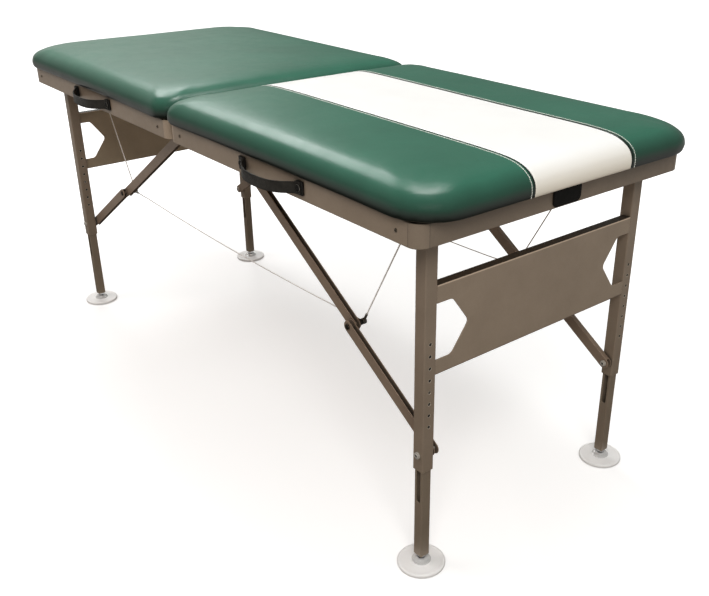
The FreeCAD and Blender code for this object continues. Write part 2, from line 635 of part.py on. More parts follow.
def cushion_section(low_x, high_x, half_y, inset, z):
    """One level of the cushion: four slightly hollow sides and four round corners."""
    waist = amount("cushion_waist")
    outer_radius = amount("cushion_corner_radius")
    hinge_radius = amount("cushion_hinge_radius")
    x0 = low_x + inset
    x1 = high_x - inset
    y1 = half_y - inset
    swing = math.sqrt(CORNER_SWING_SHARE)
    corners = [(x1, y1, 1, 1, outer_radius), (x0, y1, -1, 1, hinge_radius),
               (x0, -y1, -1, -1, hinge_radius), (x1, -y1, 1, -1, outer_radius)]
    arcs = []
    for cx, cy, sx, sy, radius in corners:
        centre = Vector(cx - sx * radius, cy - sy * radius, z)
        along_x = centre + Vector(sx * radius, 0, 0)
        along_y = centre + Vector(0, sy * radius, 0)
        middle = centre + Vector(sx * radius * swing, sy * radius * swing, 0)
        ends = (along_x, along_y) if sx * sy > 0 else (along_y, along_x)
        arcs.append((ends[0], middle, ends[1]))
    sides = [Vector(0, -waist, 0), Vector(waist, 0, 0), Vector(0, waist, 0), Vector(-waist, 0, 0)]
    edges = []
    for i in range(4):
        start, middle, stop = arcs[i]
        following = arcs[(i + 1) % 4][0]
        edges.append(Part.Arc(start, middle, stop).toShape())
        edges.append(Part.Arc(stop, (stop + following) / 2 + sides[i], following).toShape())
    return Part.Wire(edges)


def make_cushion():
    """A padded top lofted through its levels, with a recess for the board."""
    height = amount("cushion_height")
    bottom = amount("frame_top") + amount("cushion_seat")
    low_x = amount("cushion_gap") / 2
    high_x = amount("half_length") + amount("cushion_end_overhang")
    half_y = amount("half_width") + amount("cushion_side_overhang")
    levels = []
    for height_share, inset_share in zip(CUSHION_HEIGHT_SHARES, CUSHION_INSET_SHARES):
        levels.append(cushion_section(low_x, high_x, half_y, inset_share * height,
                                      bottom + height_share * height))
    body = Part.makeLoft(levels, True, False)
    play = amount("board_clearance")
    inset = amount("board_inset")
    recess = Part.makeBox(
        amount("half_length") - amount("frame_start") - 2 * (inset - play),
        amount("deck_width") - 2 * (inset - play),
        amount("board_thickness") + play + amount("cushion_seat"),
        Vector(amount("frame_start") + inset - play, inset - play - amount("half_width"),
               bottom - amount("cushion_seat")))
    upright = [edge for edge in recess.Edges
               if edge.BoundBox.ZLength > amount("board_thickness")]
    recess = recess.makeFillet(amount("board_corner_radius") + play, upright)
    cushion = doc.addObject("Part::Feature", "cushion")
    cushion.Shape = body.cut(recess)
    node_and_mirror("cushion", cushion)


def square_tube(name, size, wall, edge, bottom, height, bore_bottom):
    half = "%s / 2" % size
    outer = rounded_bar(name + "_outer", "z", "leg_x - " + half, "leg_y - " + half, bottom,
                        size, size, height, edge)
    bore = box(name + "_bore", "leg_x - %s + %s" % (half, wall), "leg_y - %s + %s" % (half, wall),
               bore_bottom, "%s - 2 * %s" % (size, wall), "%s - 2 * %s" % (size, wall),
               "(%s) + 2 * cut_overrun" % height)
    return outer, bore


def cross_hole(name, axis, z, radius):
    """A hole through both walls of a leg tube."""
    start = ["leg_x", "leg_y", z]
    start[0 if axis == "x" else 1] += " - leg_size"
    return cylinder(name, axis, *start, radius, "2 * leg_size")


def make_outer_legs():
    height = "leg_top - leg_bottom"
    outer, bore = square_tube("outer_leg", "leg_size", "leg_wall", "leg_edge", "leg_bottom",
                              height, "leg_bottom - cut_overrun")
    cutters = [bore]
    for i in range(int(amount("adjust_hole_count"))):
        cutters.append(cross_hole("height_hole%d" % i, "x",
                                  "lowest_hole_height + %d * adjust_hole_pitch" % i,
                                  "adjust_hole_radius"))
    cutters.append(cross_hole("leg_pivot_hole", "y", "leg_pivot_height",
                              "pivot_pin_radius + pin_clearance"))
    cutters.append(cross_hole("leg_bolt_hole", "y", "leg_bolt_height",
                              "leg_bolt_radius + pin_clearance"))
    node_and_mirror("outer_legs", both("outer_legs", cut("outer_leg", outer, cutters)))


def make_leg_bolts():
    """The bolt through outer tube, inner tube and lower brace arm, with head and nut."""
    shank = cylinder("leg_bolt_shank", "y", "leg_x", "lower_arm_y", "leg_bolt_height",
                     "leg_bolt_radius", "leg_outer_y - lower_arm_y")
    head = cylinder("leg_bolt_head", "y", "leg_x", "leg_outer_y", "leg_bolt_height",
                    "bolt_head_radius", "bolt_head_height")
    nut = cylinder("leg_bolt_nut", "y", "leg_x", "lower_arm_y - bolt_head_height",
                   "leg_bolt_height", "bolt_head_radius", "bolt_head_height")
    spacer = cut("leg_bolt_spacer", cylinder("spacer_blank", "y", "leg_x",
                                             "leg_inner_y - brace_standoff", "leg_bolt_height",
                                             "bolt_head_radius", "brace_standoff"),
                 [cylinder("spacer_bore", "y", "leg_x",
                           "leg_inner_y - brace_standoff - cut_overrun", "leg_bolt_height",
                           "leg_bolt_radius + pin_clearance",
                           "brace_standoff + 2 * cut_overrun")])
    bolt = fuse("leg_bolt", [shank, head, nut])
    node_and_mirror("leg_bolts", both("leg_bolts", group("leg_bolt_set", [bolt, spacer])))


def make_inner_leg():
    height = "inner_top - inner_bottom"
    outer, bore = square_tube("inner_leg", "inner_size", "inner_wall", "inner_edge",
                              "inner_bottom", height, "inner_bottom - cut_overrun")
    slot_parts = [box("slot_room", "leg_x - slot_width / 2", "leg_y - leg_size",
                      "slot_bottom + slot_width / 2", "slot_width", "2 * leg_size",
                      "slot_top - slot_bottom - slot_width")]
    for tag, z in (("low", "slot_bottom + slot_width / 2"), ("high", "slot_top - slot_width / 2")):
        slot_parts.append(cross_hole("slot_end_" + tag, "y", z, "slot_width / 2"))
    button_hole = cylinder("button_hole", "x", "leg_x", "leg_y", "lock_height",
                           "adjust_hole_radius", "leg_size")
    leg = cut("inner_leg", outer, [bore, fuse("slot", slot_parts), button_hole])
    four_nodes("inner_leg", leg, same_way=True)


def make_snap_button():
    """The sprung button of the height lock on its leaf, at the height hole in use."""
    back_face = "leg_x + inner_bore_half - leaf_gap"
    stem = cylinder("button_stem", "x", back_face, "leg_y", "lock_height", "button_radius",
                    "inner_wall + leaf_gap + button_tip")
    leaf = box("button_leaf", back_face + " - leaf_thickness", "leg_y - leaf_width / 2",
               "lock_height - leaf_length + leaf_width / 2", "leaf_thickness", "leaf_width",
               "leaf_length")
    button = fuse("snap_button", [stem, leaf])
    four_nodes("snap_button", button, same_way=True)


def revolved_body(name, corners):
    """A body turned about Z from a half outline in the XZ plane, then set under a leg."""
    body = doc.addObject("PartDesign::Body", name)
    sketch = outline_sketch(body, name + "_outline", "XZ_Plane", corners)
    turn = body.newObject("PartDesign::Revolution", name + "_turn")
    turn.Profile = sketch
    turn.ReferenceAxis = (sketch, ["V_Axis"])
    turn.Angle = 360
    doc.recompute()
    place(body, "leg_x", "leg_y", "0")
    return body


def ball(name, radius):
    obj = doc.addObject("Part::Sphere", name)
    bind(obj, Radius=radius)
    place(obj, "leg_x", "leg_y", "foot_thickness")
    return obj


def make_foot():
    """A nylon disc with the socket cap that holds the ball of the leg's stud."""
    disc = revolved_body("foot_blank", [
        ("0", "0", None), ("foot_radius", "0", "foot_half_edge"),
        ("foot_radius", "foot_thickness", "foot_edge"), ("0", "foot_thickness", None)])
    four_nodes("foot_disc", cut("foot_disc", disc,
                                [ball("disc_socket", "ball_radius + ball_clearance")]))
    cap = revolved_body("cap_blank", [
        ("0", "foot_thickness", None), ("cap_radius", "foot_thickness", None),
        ("cap_radius", "cap_waist", "cap_round"), ("cap_top_radius", "cap_top", "cap_round"),
        ("0", "cap_top", None)])
    mouth = cylinder("cap_mouth", "z", "leg_x", "leg_y", "foot_thickness",
                     "cap_mouth_radius", "cap_height + cut_overrun")
    four_nodes("foot_cap", cut("foot_cap", cap,
                               [ball("cap_socket", "ball_radius + ball_clearance"), mouth]))
    shank = cylinder("stud_shank", "z", "leg_x", "leg_y", "foot_thickness", "stud_radius",
                     "inner_bottom - foot_thickness + plug_height / 2")
    half = "inner_bore_half - plug_clearance"
    plug = box("stud_plug", "leg_x - (%s)" % half, "leg_y - (%s)" % half, "inner_bottom",
               "2 * (%s)" % half, "2 * (%s)" % half, "plug_height")
    collar = cylinder("stud_collar", "z", "leg_x", "leg_y", "inner_bottom - stud_collar_height",
                      "stud_collar_radius", "stud_collar_height")
    four_nodes("foot_stud", fuse("foot_stud", [ball("stud_ball", "ball_radius"), shank, collar,
                                               plug]))


def make_end_panel():
    """A sheet between the legs of a pair, cut out at both ends, with a top flange."""
    body = doc.addObject("PartDesign::Body", "panel_sheet")
    outline = []
    right_side = [("leg_inner_y", "panel_bottom", None), ("leg_inner_y", "cutout_bottom", None),
                  ("cutout_shoulder_y", "cutout_bottom", "cutout_round"),
                  ("cutout_tip_y", "cutout_middle", "cutout_tip_round"),
                  ("cutout_shoulder_y", "cutout_top", "cutout_round"),
                  ("leg_inner_y", "cutout_top", None), ("leg_inner_y", "panel_top", None)]
    outline += right_side
    outline += [("-" + y, z, rounding) for y, z, rounding in reversed(right_side)]
    sketch = outline_sketch(body, "panel_outline", "YZ_Plane", outline)
    bind(sketch, AttachmentOffset__Base__z="panel_inner_x")
    pad = body.newObject("PartDesign::Pad", "panel_pad")
    pad.Profile = sketch
    bind(pad, Length="panel_thickness")
    doc.recompute()
    flange = box("panel_flange", "panel_outer_x - flange_depth", "-leg_inner_y",
                 "panel_top - panel_thickness", "flange_depth", "2 * leg_inner_y",
                 "panel_thickness")
    node_and_mirror("end_panel", fuse("end_panel", [body, flange]))


def channel_arm(name, length, web_up):
    """A brace arm along X from its first pivot: two cheeks with round ends and a web."""
    radius = "arm_height / 2"
    parts = []
    for tag, y in (("near", "0"), ("far", "arm_width - arm_wall")):
        parts.append(box("%s_cheek_%s" % (name, tag), "0", y, "-arm_height / 2", length,
                         "arm_wall", "arm_height"))
        for end, x in (("first", "0"), ("last", length)):
            parts.append(cylinder("%s_end_%s_%s" % (name, tag, end), "y", x, y, "0", radius,
                                  "arm_wall"))
    web_z = "arm_height / 2 - arm_wall" if web_up else "-arm_height / 2"
    parts.append(box(name + "_web", "0", "0", web_z, length, "arm_width", "arm_wall"))
    return fuse(name + "_channel", parts)


def arm_rivet(name, x, head_y, shank_y, shank_length):
    head = cylinder(name + "_head", "y", x, head_y, "0", "rivet_head_radius",
                    "rivet_head_height")
    shank = cylinder(name + "_shank", "y", x, shank_y, "0", "rivet_radius", shank_length)
    return [head, shank]


def aim_arm(obj, x, y, z, angle):
    """Turn an arm that was drawn along X about Y and set its first pivot in place."""
    obj.Placement = Placement(Vector(), Rotation(Vector(0, 1, 0), 1))
    bind(obj, Placement__Rotation__Angle=angle)
    place(obj, x, y, z)


def make_brace(web_up, tag):
    """One brace at the back: the lower arm from the leg bolt, the upper arm to the deck."""
    slope = "atan2(brace_rise; brace_run)"
    bore_radius = "leg_bolt_radius + pin_clearance"
    lower_channel = channel_arm("lower_arm_" + tag, "lower_arm_length", not web_up)
    rivet = arm_rivet("lower_rivet_" + tag, "lower_arm_length", "arm_width", "0", "arm_width")
    bore = cylinder("lower_bore_" + tag, "y", "0", "-cut_overrun", "0", bore_radius,
                    "arm_width + 2 * cut_overrun")
    lower = cut("lower_arm_" + tag, fuse("lower_body_" + tag, [lower_channel] + rivet), [bore])
    aim_arm(lower, "leg_x", "lower_arm_y", "leg_bolt_height", "180deg + " + slope)

    upper_channel = channel_arm("upper_arm_" + tag, "upper_arm_length", web_up)
    post = cylinder("cable_post_" + tag, "y", "upper_arm_length", "-cable_post_length", "0",
                    "cable_post_radius", "cable_post_length + arm_width")
    collar = cylinder("post_collar_" + tag, "y", "upper_arm_length", "-cable_post_length", "0",
                      "post_collar_radius", "post_collar_width")
    bore = cylinder("upper_bore_" + tag, "y", "0", "-cut_overrun", "0",
                    "brace_pin_radius + pin_clearance", "arm_width + 2 * cut_overrun")
    upper = cut("upper_arm_" + tag, fuse("upper_body_" + tag, [upper_channel, post, collar]),
                [bore])
    aim_arm(upper, "brace_pivot_x", "upper_arm_y", "brace_pivot_height", slope)
    return lower, upper


def make_braces():
    """Each brace's channel is open upward at two corners and downward at the other two."""
    for tag, web_up in (("closed_top", True), ("open_top", False)):
        lower, upper = make_brace(web_up, tag)
        for label, arm in (("lower_brace_arm", lower), ("upper_brace_arm", upper)):
            front = mirror("front_%s_%s" % (label, tag), arm, "y")
            if web_up:
                node("right_back_" + label, arm)
                node("left_front_" + label, mirror("left_front_" + label, front, "x"))
            else:
                node("right_front_" + label, front)
                node("left_back_" + label, mirror("left_back_" + label, arm, "x"))


def make_carry_handle():
    """A bowed strap between two end plates, on the front side rail."""
    centre_y = "half_width + handle_bow - strap_radius"
    low = "handle_height - strap_width / 2"
    ring = cut("strap_ring", cylinder("strap_outer", "z", "handle_x", centre_y, low,
                                      "strap_radius", "strap_width"),
               [cylinder("strap_inner", "z", "handle_x", centre_y, low + " - cut_overrun",
                         "strap_radius - strap_thickness", "strap_width + 2 * cut_overrun"),
                box("strap_trim", "handle_x - 2 * strap_radius",
                    "half_width - 4 * strap_radius", low + " - cut_overrun",
                    "4 * strap_radius", "4 * strap_radius", "strap_width + 2 * cut_overrun")])
    pieces = [ring]
    for tag, sign in (("outer", "+"), ("hinge", "-")):
        plate = rounded_bar("handle_plate_" + tag, "y",
                            "handle_x %s handle_span / 2 - handle_plate_length / 2" % sign,
                            "half_width", "handle_height - handle_plate_height / 2",
                            "handle_plate_length", "handle_plate_thickness",
                            "handle_plate_height", "screw_radius")
        pieces.append(plate)
        pieces.append(cylinder("handle_screw_" + tag, "y",
                               "handle_x %s handle_span / 2" % sign,
                               "half_width + handle_plate_thickness", "handle_height",
                               "handle_screw_radius", "handle_screw_height"))
    back_handle = fuse("back_handle", pieces)
    node_and_mirror("carry_handle", mirror("carry_handle", back_handle, "y"))


def straight_cable(start, end):
    run = end - start
    return Part.makeCylinder(amount("cable_radius"), run.Length, start, run)


def make_cables():
    """Short cables from each knuckle up to the deck, long ones from knuckle to knuckle."""
    y = amount("cable_y")
    knuckle = Vector(amount("knuckle_x"), y, amount("knuckle_z"))
    clear = amount("cable_post_radius") + amount("screw_clearance")
    anchor = Vector(amount("cable_anchor_x"), y, amount("frame_top") - amount("cable_anchor_drop"))
    along = (anchor - knuckle).normalize()
    post = Part.makeCylinder(amount("cable_anchor_radius"), amount("cable_anchor_drop"), anchor)
    short = straight_cable(knuckle + along * clear, anchor + Vector(0, 0, amount("cable_radius")))
    short_cable = doc.addObject("Part::Feature", "short_cable")
    short_cable.Shape = short.fuse(post)
    node_and_mirror("short_cables", both("short_cables", short_cable))

    reach = knuckle.x - clear
    level = knuckle.z
    low = Vector(0, y, level - amount("cable_sag"))
    route = Part.Arc(Vector(-reach, y, level), low, Vector(reach, y, level)).toShape()
    start_way = route.tangentAt(route.FirstParameter)
    section = Part.Wire(Part.makeCircle(amount("cable_radius"), Vector(-reach, y, level),
                                        start_way))
    long_cable = doc.addObject("Part::Feature", "long_cable")
    long_cable.Shape = Part.Wire(route).makePipeShell([section], True, False)
    node("long_cables", both("long_cables", long_cable))


def make_centre_hinge():
    """Two leaves under the hinge rails with interleaved knuckles on one pin."""
    pin_room = cylinder("hinge_pin_room", "y", "0", "-hinge_length", "hinge_axis_z",
                        "hinge_pin_radius + pin_clearance", "2 * hinge_length")
    pairs = int(amount("knuckle_pairs"))
    leaves = {}
    for side, first, start in (("right", 0, "0"), ("left", 1, "-leaf_plate_width")):
        parts = [box(side + "_leaf_plate", start, "-hinge_length / 2",
                     "frame_bottom - leaf_plate", "leaf_plate_width", "hinge_length",
                     "leaf_plate")]
        rooms = [pin_room]
        for i in range(2 * pairs):
            low = "-hinge_length / 2 + %d * knuckle_length + knuckle_gap / 2" % i
            if i % 2 == first:
                parts.append(cylinder("%s_knuckle%d" % (side, i), "y", "0", low, "hinge_axis_z",
                                      "barrel_radius", "knuckle_length - knuckle_gap"))
            else:
                rooms.append(cylinder("%s_room%d" % (side, i), "y", "0",
                                      low + " - knuckle_gap", "hinge_axis_z",
                                      "barrel_radius + knuckle_gap",
                                      "knuckle_length + knuckle_gap"))
        leaves[side] = cut(side + "_hinge_leaf", fuse(side + "_leaf_body", parts), rooms)
    node("right_hinge_leaf", leaves["right"])
    node("left_hinge_leaf", leaves["left"])
    node("hinge_pin", cylinder("hinge_pin", "y", "0", "-hinge_length / 2", "hinge_axis_z",
                               "hinge_pin_radius", "hinge_length"))


def make_closure_tab():
    """The flap that hangs over the end rail and holds the folded table shut."""
    body = doc.addObject("PartDesign::Body", "tab_body")
    sketch = outline_sketch(body, "tab_outline", "YZ_Plane", [
        ("-tab_half_width", "tab_top", None), ("-tab_half_width", "tab_bottom", "tab_corner"),
        ("tab_half_width", "tab_bottom", "tab_corner"), ("tab_half_width", "tab_top", None)])
    bind(sketch, AttachmentOffset__Base__z="half_length + tab_gap")
    pad = body.newObject("PartDesign::Pad", "tab_pad")
    pad.Profile = sketch
    bind(pad, Length="tab_thickness")
    doc.recompute()
    node("closure_tab", body)


make_rails()
make_corner_connectors()
make_fasteners()
make_pivot_brackets()
make_deck_board()
make_cushion()
make_outer_legs()
make_leg_bolts()
make_inner_leg()
make_snap_button()
make_foot()
make_end_panel()
make_braces()
make_carry_handle()
make_cables()
make_centre_hinge()
make_closure_tab()
doc.recompute()

faults = []
for obj in doc.Objects:
    if "Invalid" in obj.State or "Error" in obj.State:
        faults.append("%s: %s" % (obj.Name, obj.State))
for obj in nodes:
    if obj.Shape.isNull() or not obj.Shape.isValid() or not obj.Shape.Solids:
        faults.append("%s has no valid solid" % obj.Label)
if faults:
    raise RuntimeError("; ".join(faults))

os.makedirs("parts", exist_ok=True)
for obj in nodes:
    obj.Shape.exportStep(os.path.join("parts", obj.Label + ".step"))
print("nodes", len(nodes))
for name in ("knuckle_x", "knuckle_z", "cable_y", "brace_length", "upper_arm_length",
             "lower_arm_y", "upper_arm_y", "lock_height", "strap_radius", "handle_x"):
    print(name, round(amount(name), 3))
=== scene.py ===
import json
import math
import bpy
import bmesh
import numpy as np
from mathutils import Matrix, Vector


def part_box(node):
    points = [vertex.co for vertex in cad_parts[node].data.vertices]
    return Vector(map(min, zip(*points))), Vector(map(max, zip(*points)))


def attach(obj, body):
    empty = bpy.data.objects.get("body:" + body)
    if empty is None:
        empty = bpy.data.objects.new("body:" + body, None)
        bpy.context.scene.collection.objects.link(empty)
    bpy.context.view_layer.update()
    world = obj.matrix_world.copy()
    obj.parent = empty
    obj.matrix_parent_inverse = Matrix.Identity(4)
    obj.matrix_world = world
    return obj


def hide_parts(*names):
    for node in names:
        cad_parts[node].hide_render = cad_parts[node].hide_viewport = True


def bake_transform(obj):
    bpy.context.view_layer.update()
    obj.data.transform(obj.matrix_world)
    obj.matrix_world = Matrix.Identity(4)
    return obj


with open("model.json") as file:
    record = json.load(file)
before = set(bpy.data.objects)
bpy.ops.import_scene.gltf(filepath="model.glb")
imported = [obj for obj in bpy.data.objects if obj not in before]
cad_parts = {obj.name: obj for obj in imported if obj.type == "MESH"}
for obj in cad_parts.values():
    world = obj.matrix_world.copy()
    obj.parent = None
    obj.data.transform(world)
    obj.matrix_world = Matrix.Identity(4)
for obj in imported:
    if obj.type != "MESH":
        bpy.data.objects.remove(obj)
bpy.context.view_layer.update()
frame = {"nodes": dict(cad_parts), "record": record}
nodes = frame["nodes"]


MM = 0.001
SIDES = (("right", 1), ("left", -1))
PHOTO_W, PHOTO_H = 709, 596

# ---------------------------------------------------------------- camera
AZ, EL = math.radians(50.43), math.radians(25.196)
back = Vector((math.sin(AZ) * math.cos(EL), -math.cos(AZ) * math.cos(EL), math.sin(EL)))
right = Vector((math.cos(AZ), math.sin(AZ), 0))
up = back.cross(right)
turn = Matrix((right, up, back)).transposed().to_4x4()
camera_data = bpy.data.cameras.new("camera")
camera = bpy.data.objects.new("camera", camera_data)
bpy.context.scene.collection.objects.link(camera)
camera.matrix_world = (Matrix.Translation((1.86623, -1.22803, 1.27148)) @ turn
                       @ Matrix.Rotation(math.radians(0.0995), 4, "Z"))
camera_data.sensor_width = 36
camera_data.lens = 871.758 * 36 / PHOTO_W
camera_data.shift_x = (PHOTO_W / 2 - 394.085) / PHOTO_W
camera_data.shift_y = (295.177 - PHOTO_H / 2) / PHOTO_W
camera_data.clip_end = 60
bpy.context.scene.camera = camera
bpy.context.scene.view_settings.view_transform = "Standard"


# ---------------------------------------------------------------- materials
class Nodes:
    """Short names for building a node tree."""

    def __init__(self, tree):
        self.tree = tree
        tree.nodes.clear()

    def node(self, kind, **settings):
        """A new node; names that start with a capital set its inputs, others the node."""
        made = self.tree.nodes.new(kind)
        for key, value in settings.items():
            if key[0].isupper():
                made.inputs[key.replace("_", " ")].default_value = value
            else:
                setattr(made, key, value)
        return made

    def link(self, a, b):
        self.tree.links.new(a, b)

    def span(self, value, low, high, from_low=0.0, from_high=1.0, **settings):
        made = self.node("ShaderNodeMapRange", From_Min=from_low, From_Max=from_high,
                         To_Min=low, To_Max=high, **settings)
        self.link(value, made.inputs["Value"])
        return made.outputs["Result"]

    def math(self, kind, a, b=0.0):
        made = self.node("ShaderNodeMath", operation=kind)
        for socket, value in zip(made.inputs, (a, b)):
            if isinstance(value, (int, float)):
                socket.default_value = value
            else:
                self.link(value, socket)
        return made.outputs[0]

    def times(self, a, b):
        return self.math("MULTIPLY", a, b)

    def vector(self, kind, a, b):
        made = self.node("ShaderNodeVectorMath", operation=kind)
        self.link(a, made.inputs[0])
        if isinstance(b, tuple):
            made.inputs[1].default_value = b
        elif b is not None:
            self.link(b, made.inputs["Scale" if kind == "SCALE" else 1])
        return made.outputs["Value" if kind in ("DOT_PRODUCT", "LENGTH") else "Vector"]

    def axes(self, vector):
        made = self.node("ShaderNodeSeparateXYZ")
        self.link(vector, made.inputs[0])
        return made.outputs

    def rays(self):
        """The kinds of ray, and whether a ray is the camera's, also through glass."""
        kinds = self.node("ShaderNodeLightPath").outputs
        return kinds, self.math("MAXIMUM", kinds["Is Camera Ray"], kinds["Is Transmission Ray"])

    def either(self, factor, first, second):
        """One shader or the other."""
        made = self.node("ShaderNodeMixShader")
        for socket, value in zip(made.inputs, (factor, first, second)):
            self.link(value, socket)
        return made.outputs[0]


class Shader(Nodes):
    """A node material around one principled shader."""

    def __init__(self, name):
        self.mat = bpy.data.materials.new(name)
        self.mat.use_nodes = True
        super().__init__(self.mat.node_tree)
        self.out = self.node("ShaderNodeOutputMaterial")
        self.bsdf = self.node("ShaderNodeBsdfPrincipled")
        self.link(self.bsdf.outputs[0], self.out.inputs[0])
        self.coord = self.node("ShaderNodeTexCoord").outputs["Object"]

    def noise(self, scale, detail=3.0, rough=0.5, vector=None, distort=0.0):
        made = self.node("ShaderNodeTexNoise", Scale=scale, Detail=detail, Roughness=rough,
                         Distortion=distort)
        self.link(vector or self.coord, made.inputs["Vector"])
        return made.outputs["Fac"]

    def cells(self, scale, feature="F1", vector=None):
        made = self.node("ShaderNodeTexVoronoi", feature=feature, Scale=scale)
        self.link(vector or self.coord, made.inputs["Vector"])
        return made.outputs["Distance"]

    def stretched(self, scale):
        made = self.node("ShaderNodeMapping", Scale=scale)
        self.link(self.coord, made.inputs["Vector"])
        return made.outputs[0]

    def hollows(self, reach, strength, closed, open_to):
        """Strength in hollows of about this reach, fading to none in the open."""
        made = self.node("ShaderNodeAmbientOcclusion", samples=6, Distance=reach)
        return self.span(made.outputs["AO"], strength, 0.0, closed, open_to)

    def ramp(self, value, stops):
        made = self.node("ShaderNodeValToRGB")
        items = made.color_ramp.elements
        while len(items) < len(stops):
            items.new(0.5)
        for item, (place, color) in zip(items, stops):
            item.position = place
            item.color = (*color, 1)
        self.link(value, made.inputs[0])
        return made.outputs[0]

    def mix(self, factor, a, b):
        made = self.node("ShaderNodeMix", data_type="RGBA")
        if isinstance(factor, (int, float)):
            made.inputs[0].default_value = factor
        else:
            self.link(factor, made.inputs[0])
        for socket, value in ((made.inputs[6], a), (made.inputs[7], b)):
            if isinstance(value, tuple):
                socket.default_value = (*value, 1)
            else:
                self.link(value, socket)
        return made.outputs[2]

    def bump(self, height, strength, distance, below=None):
        made = self.node("ShaderNodeBump", Strength=strength, Distance=distance)
        self.link(height, made.inputs["Height"])
        if below is not None:
            self.link(below, made.inputs["Normal"])
        self.link(made.outputs[0], self.bsdf.inputs["Normal"])
        return made.outputs[0]

    def set(self, **values):
        for key, value in values.items():
            self.bsdf.inputs[key.replace("_", " ")].default_value = value

    def color(self, socket):
        self.link(socket, self.bsdf.inputs["Base Color"])

    def roughness(self, socket):
        self.link(socket, self.bsdf.inputs["Roughness"])


def vinyl(name, dark, light, rough, gloss, under, seams=(), depth=1.0):
    """Upholstery vinyl: fine pebbled grain, soft creases, slow colour drift.

    The cover takes a painted shade, darker (under) the further it turns down, painted shade in
    its lower hollows and a near-black painted shade along the bottom of strength depth; seams lists
    the places along Y where two covers are sewn together, each with a painted shadow beside it.
    """
    grain = 0.33
    s = Shader(name)
    drift = s.noise(5.0, 4.0, 0.6)
    fine = s.noise(160.0, 3.0, 0.6)
    tone = s.mix(0.22, drift, fine)
    place = s.axes(s.coord)
    # painted shade: the cover darkens towards under the lower it turns down
    low = s.math("ADD", place["Z"], s.span(s.noise(16.0), -0.002, 0.002, 0.3, 0.7))
    low = s.span(low, 1.0, 0.0, 0.785, 0.831)
    shade = s.mix(s.math("POWER", low, 0.8), s.ramp(tone, [(0.32, dark), (0.68, light)]), under)
    # painted shadow in the valley beside each seam
    for seam in seams:
        away = s.math("ABSOLUTE", s.math("SUBTRACT", place["Y"], seam))
        shade = s.mix(s.span(away, 0.94, 0.0, 0.0058, 0.0074), shade, (0.006, 0.014, 0.010))
    # painted shade in hollows near the cover's bottom, and a near-black painted shade along its
    # bottom edge, of strength depth
    hollow_shade = s.times(s.hollows(0.022, 0.88, 0.34, 0.88), s.span(place["Z"], 1.0, 0.0, 0.795, 0.812))
    bottom_shade = s.span(place["Z"], 0.9, 0.0, 0.7865, 0.8035)
    shade = s.mix(s.times(bottom_shade, depth), shade, (0.007, 0.010, 0.007))
    s.color(s.mix(hollow_shade, shade, (0.006, 0.008, 0.006)))
    s.roughness(s.span(s.noise(22.0, 3.0, 0.6), rough - 0.03, rough + 0.04, 0.3, 0.7))
    s.set(Specular_IOR_Level=gloss)
    warp = s.node("ShaderNodeTexNoise", Scale=300)
    s.link(s.coord, warp.inputs["Vector"])
    shift = s.node("ShaderNodeVectorMath", operation="SCALE", Scale=0.0012)
    s.link(warp.outputs["Color"], shift.inputs[0])
    swirl = s.vector("ADD", s.coord, shift.outputs[0])
    pebble = s.cells(640.0, "SMOOTH_F1", swirl)
    crease = s.span(s.cells(210.0, "DISTANCE_TO_EDGE", swirl), 0.0, 1.0, 0.0, 0.12)
    first = s.bump(crease, grain * 0.5, 0.00016)
    second = s.bump(pebble, grain, 0.00022, first)
    s.bump(s.noise(9.0, 2.0, 0.5), 0.12, 0.004, second)
    return s.mat


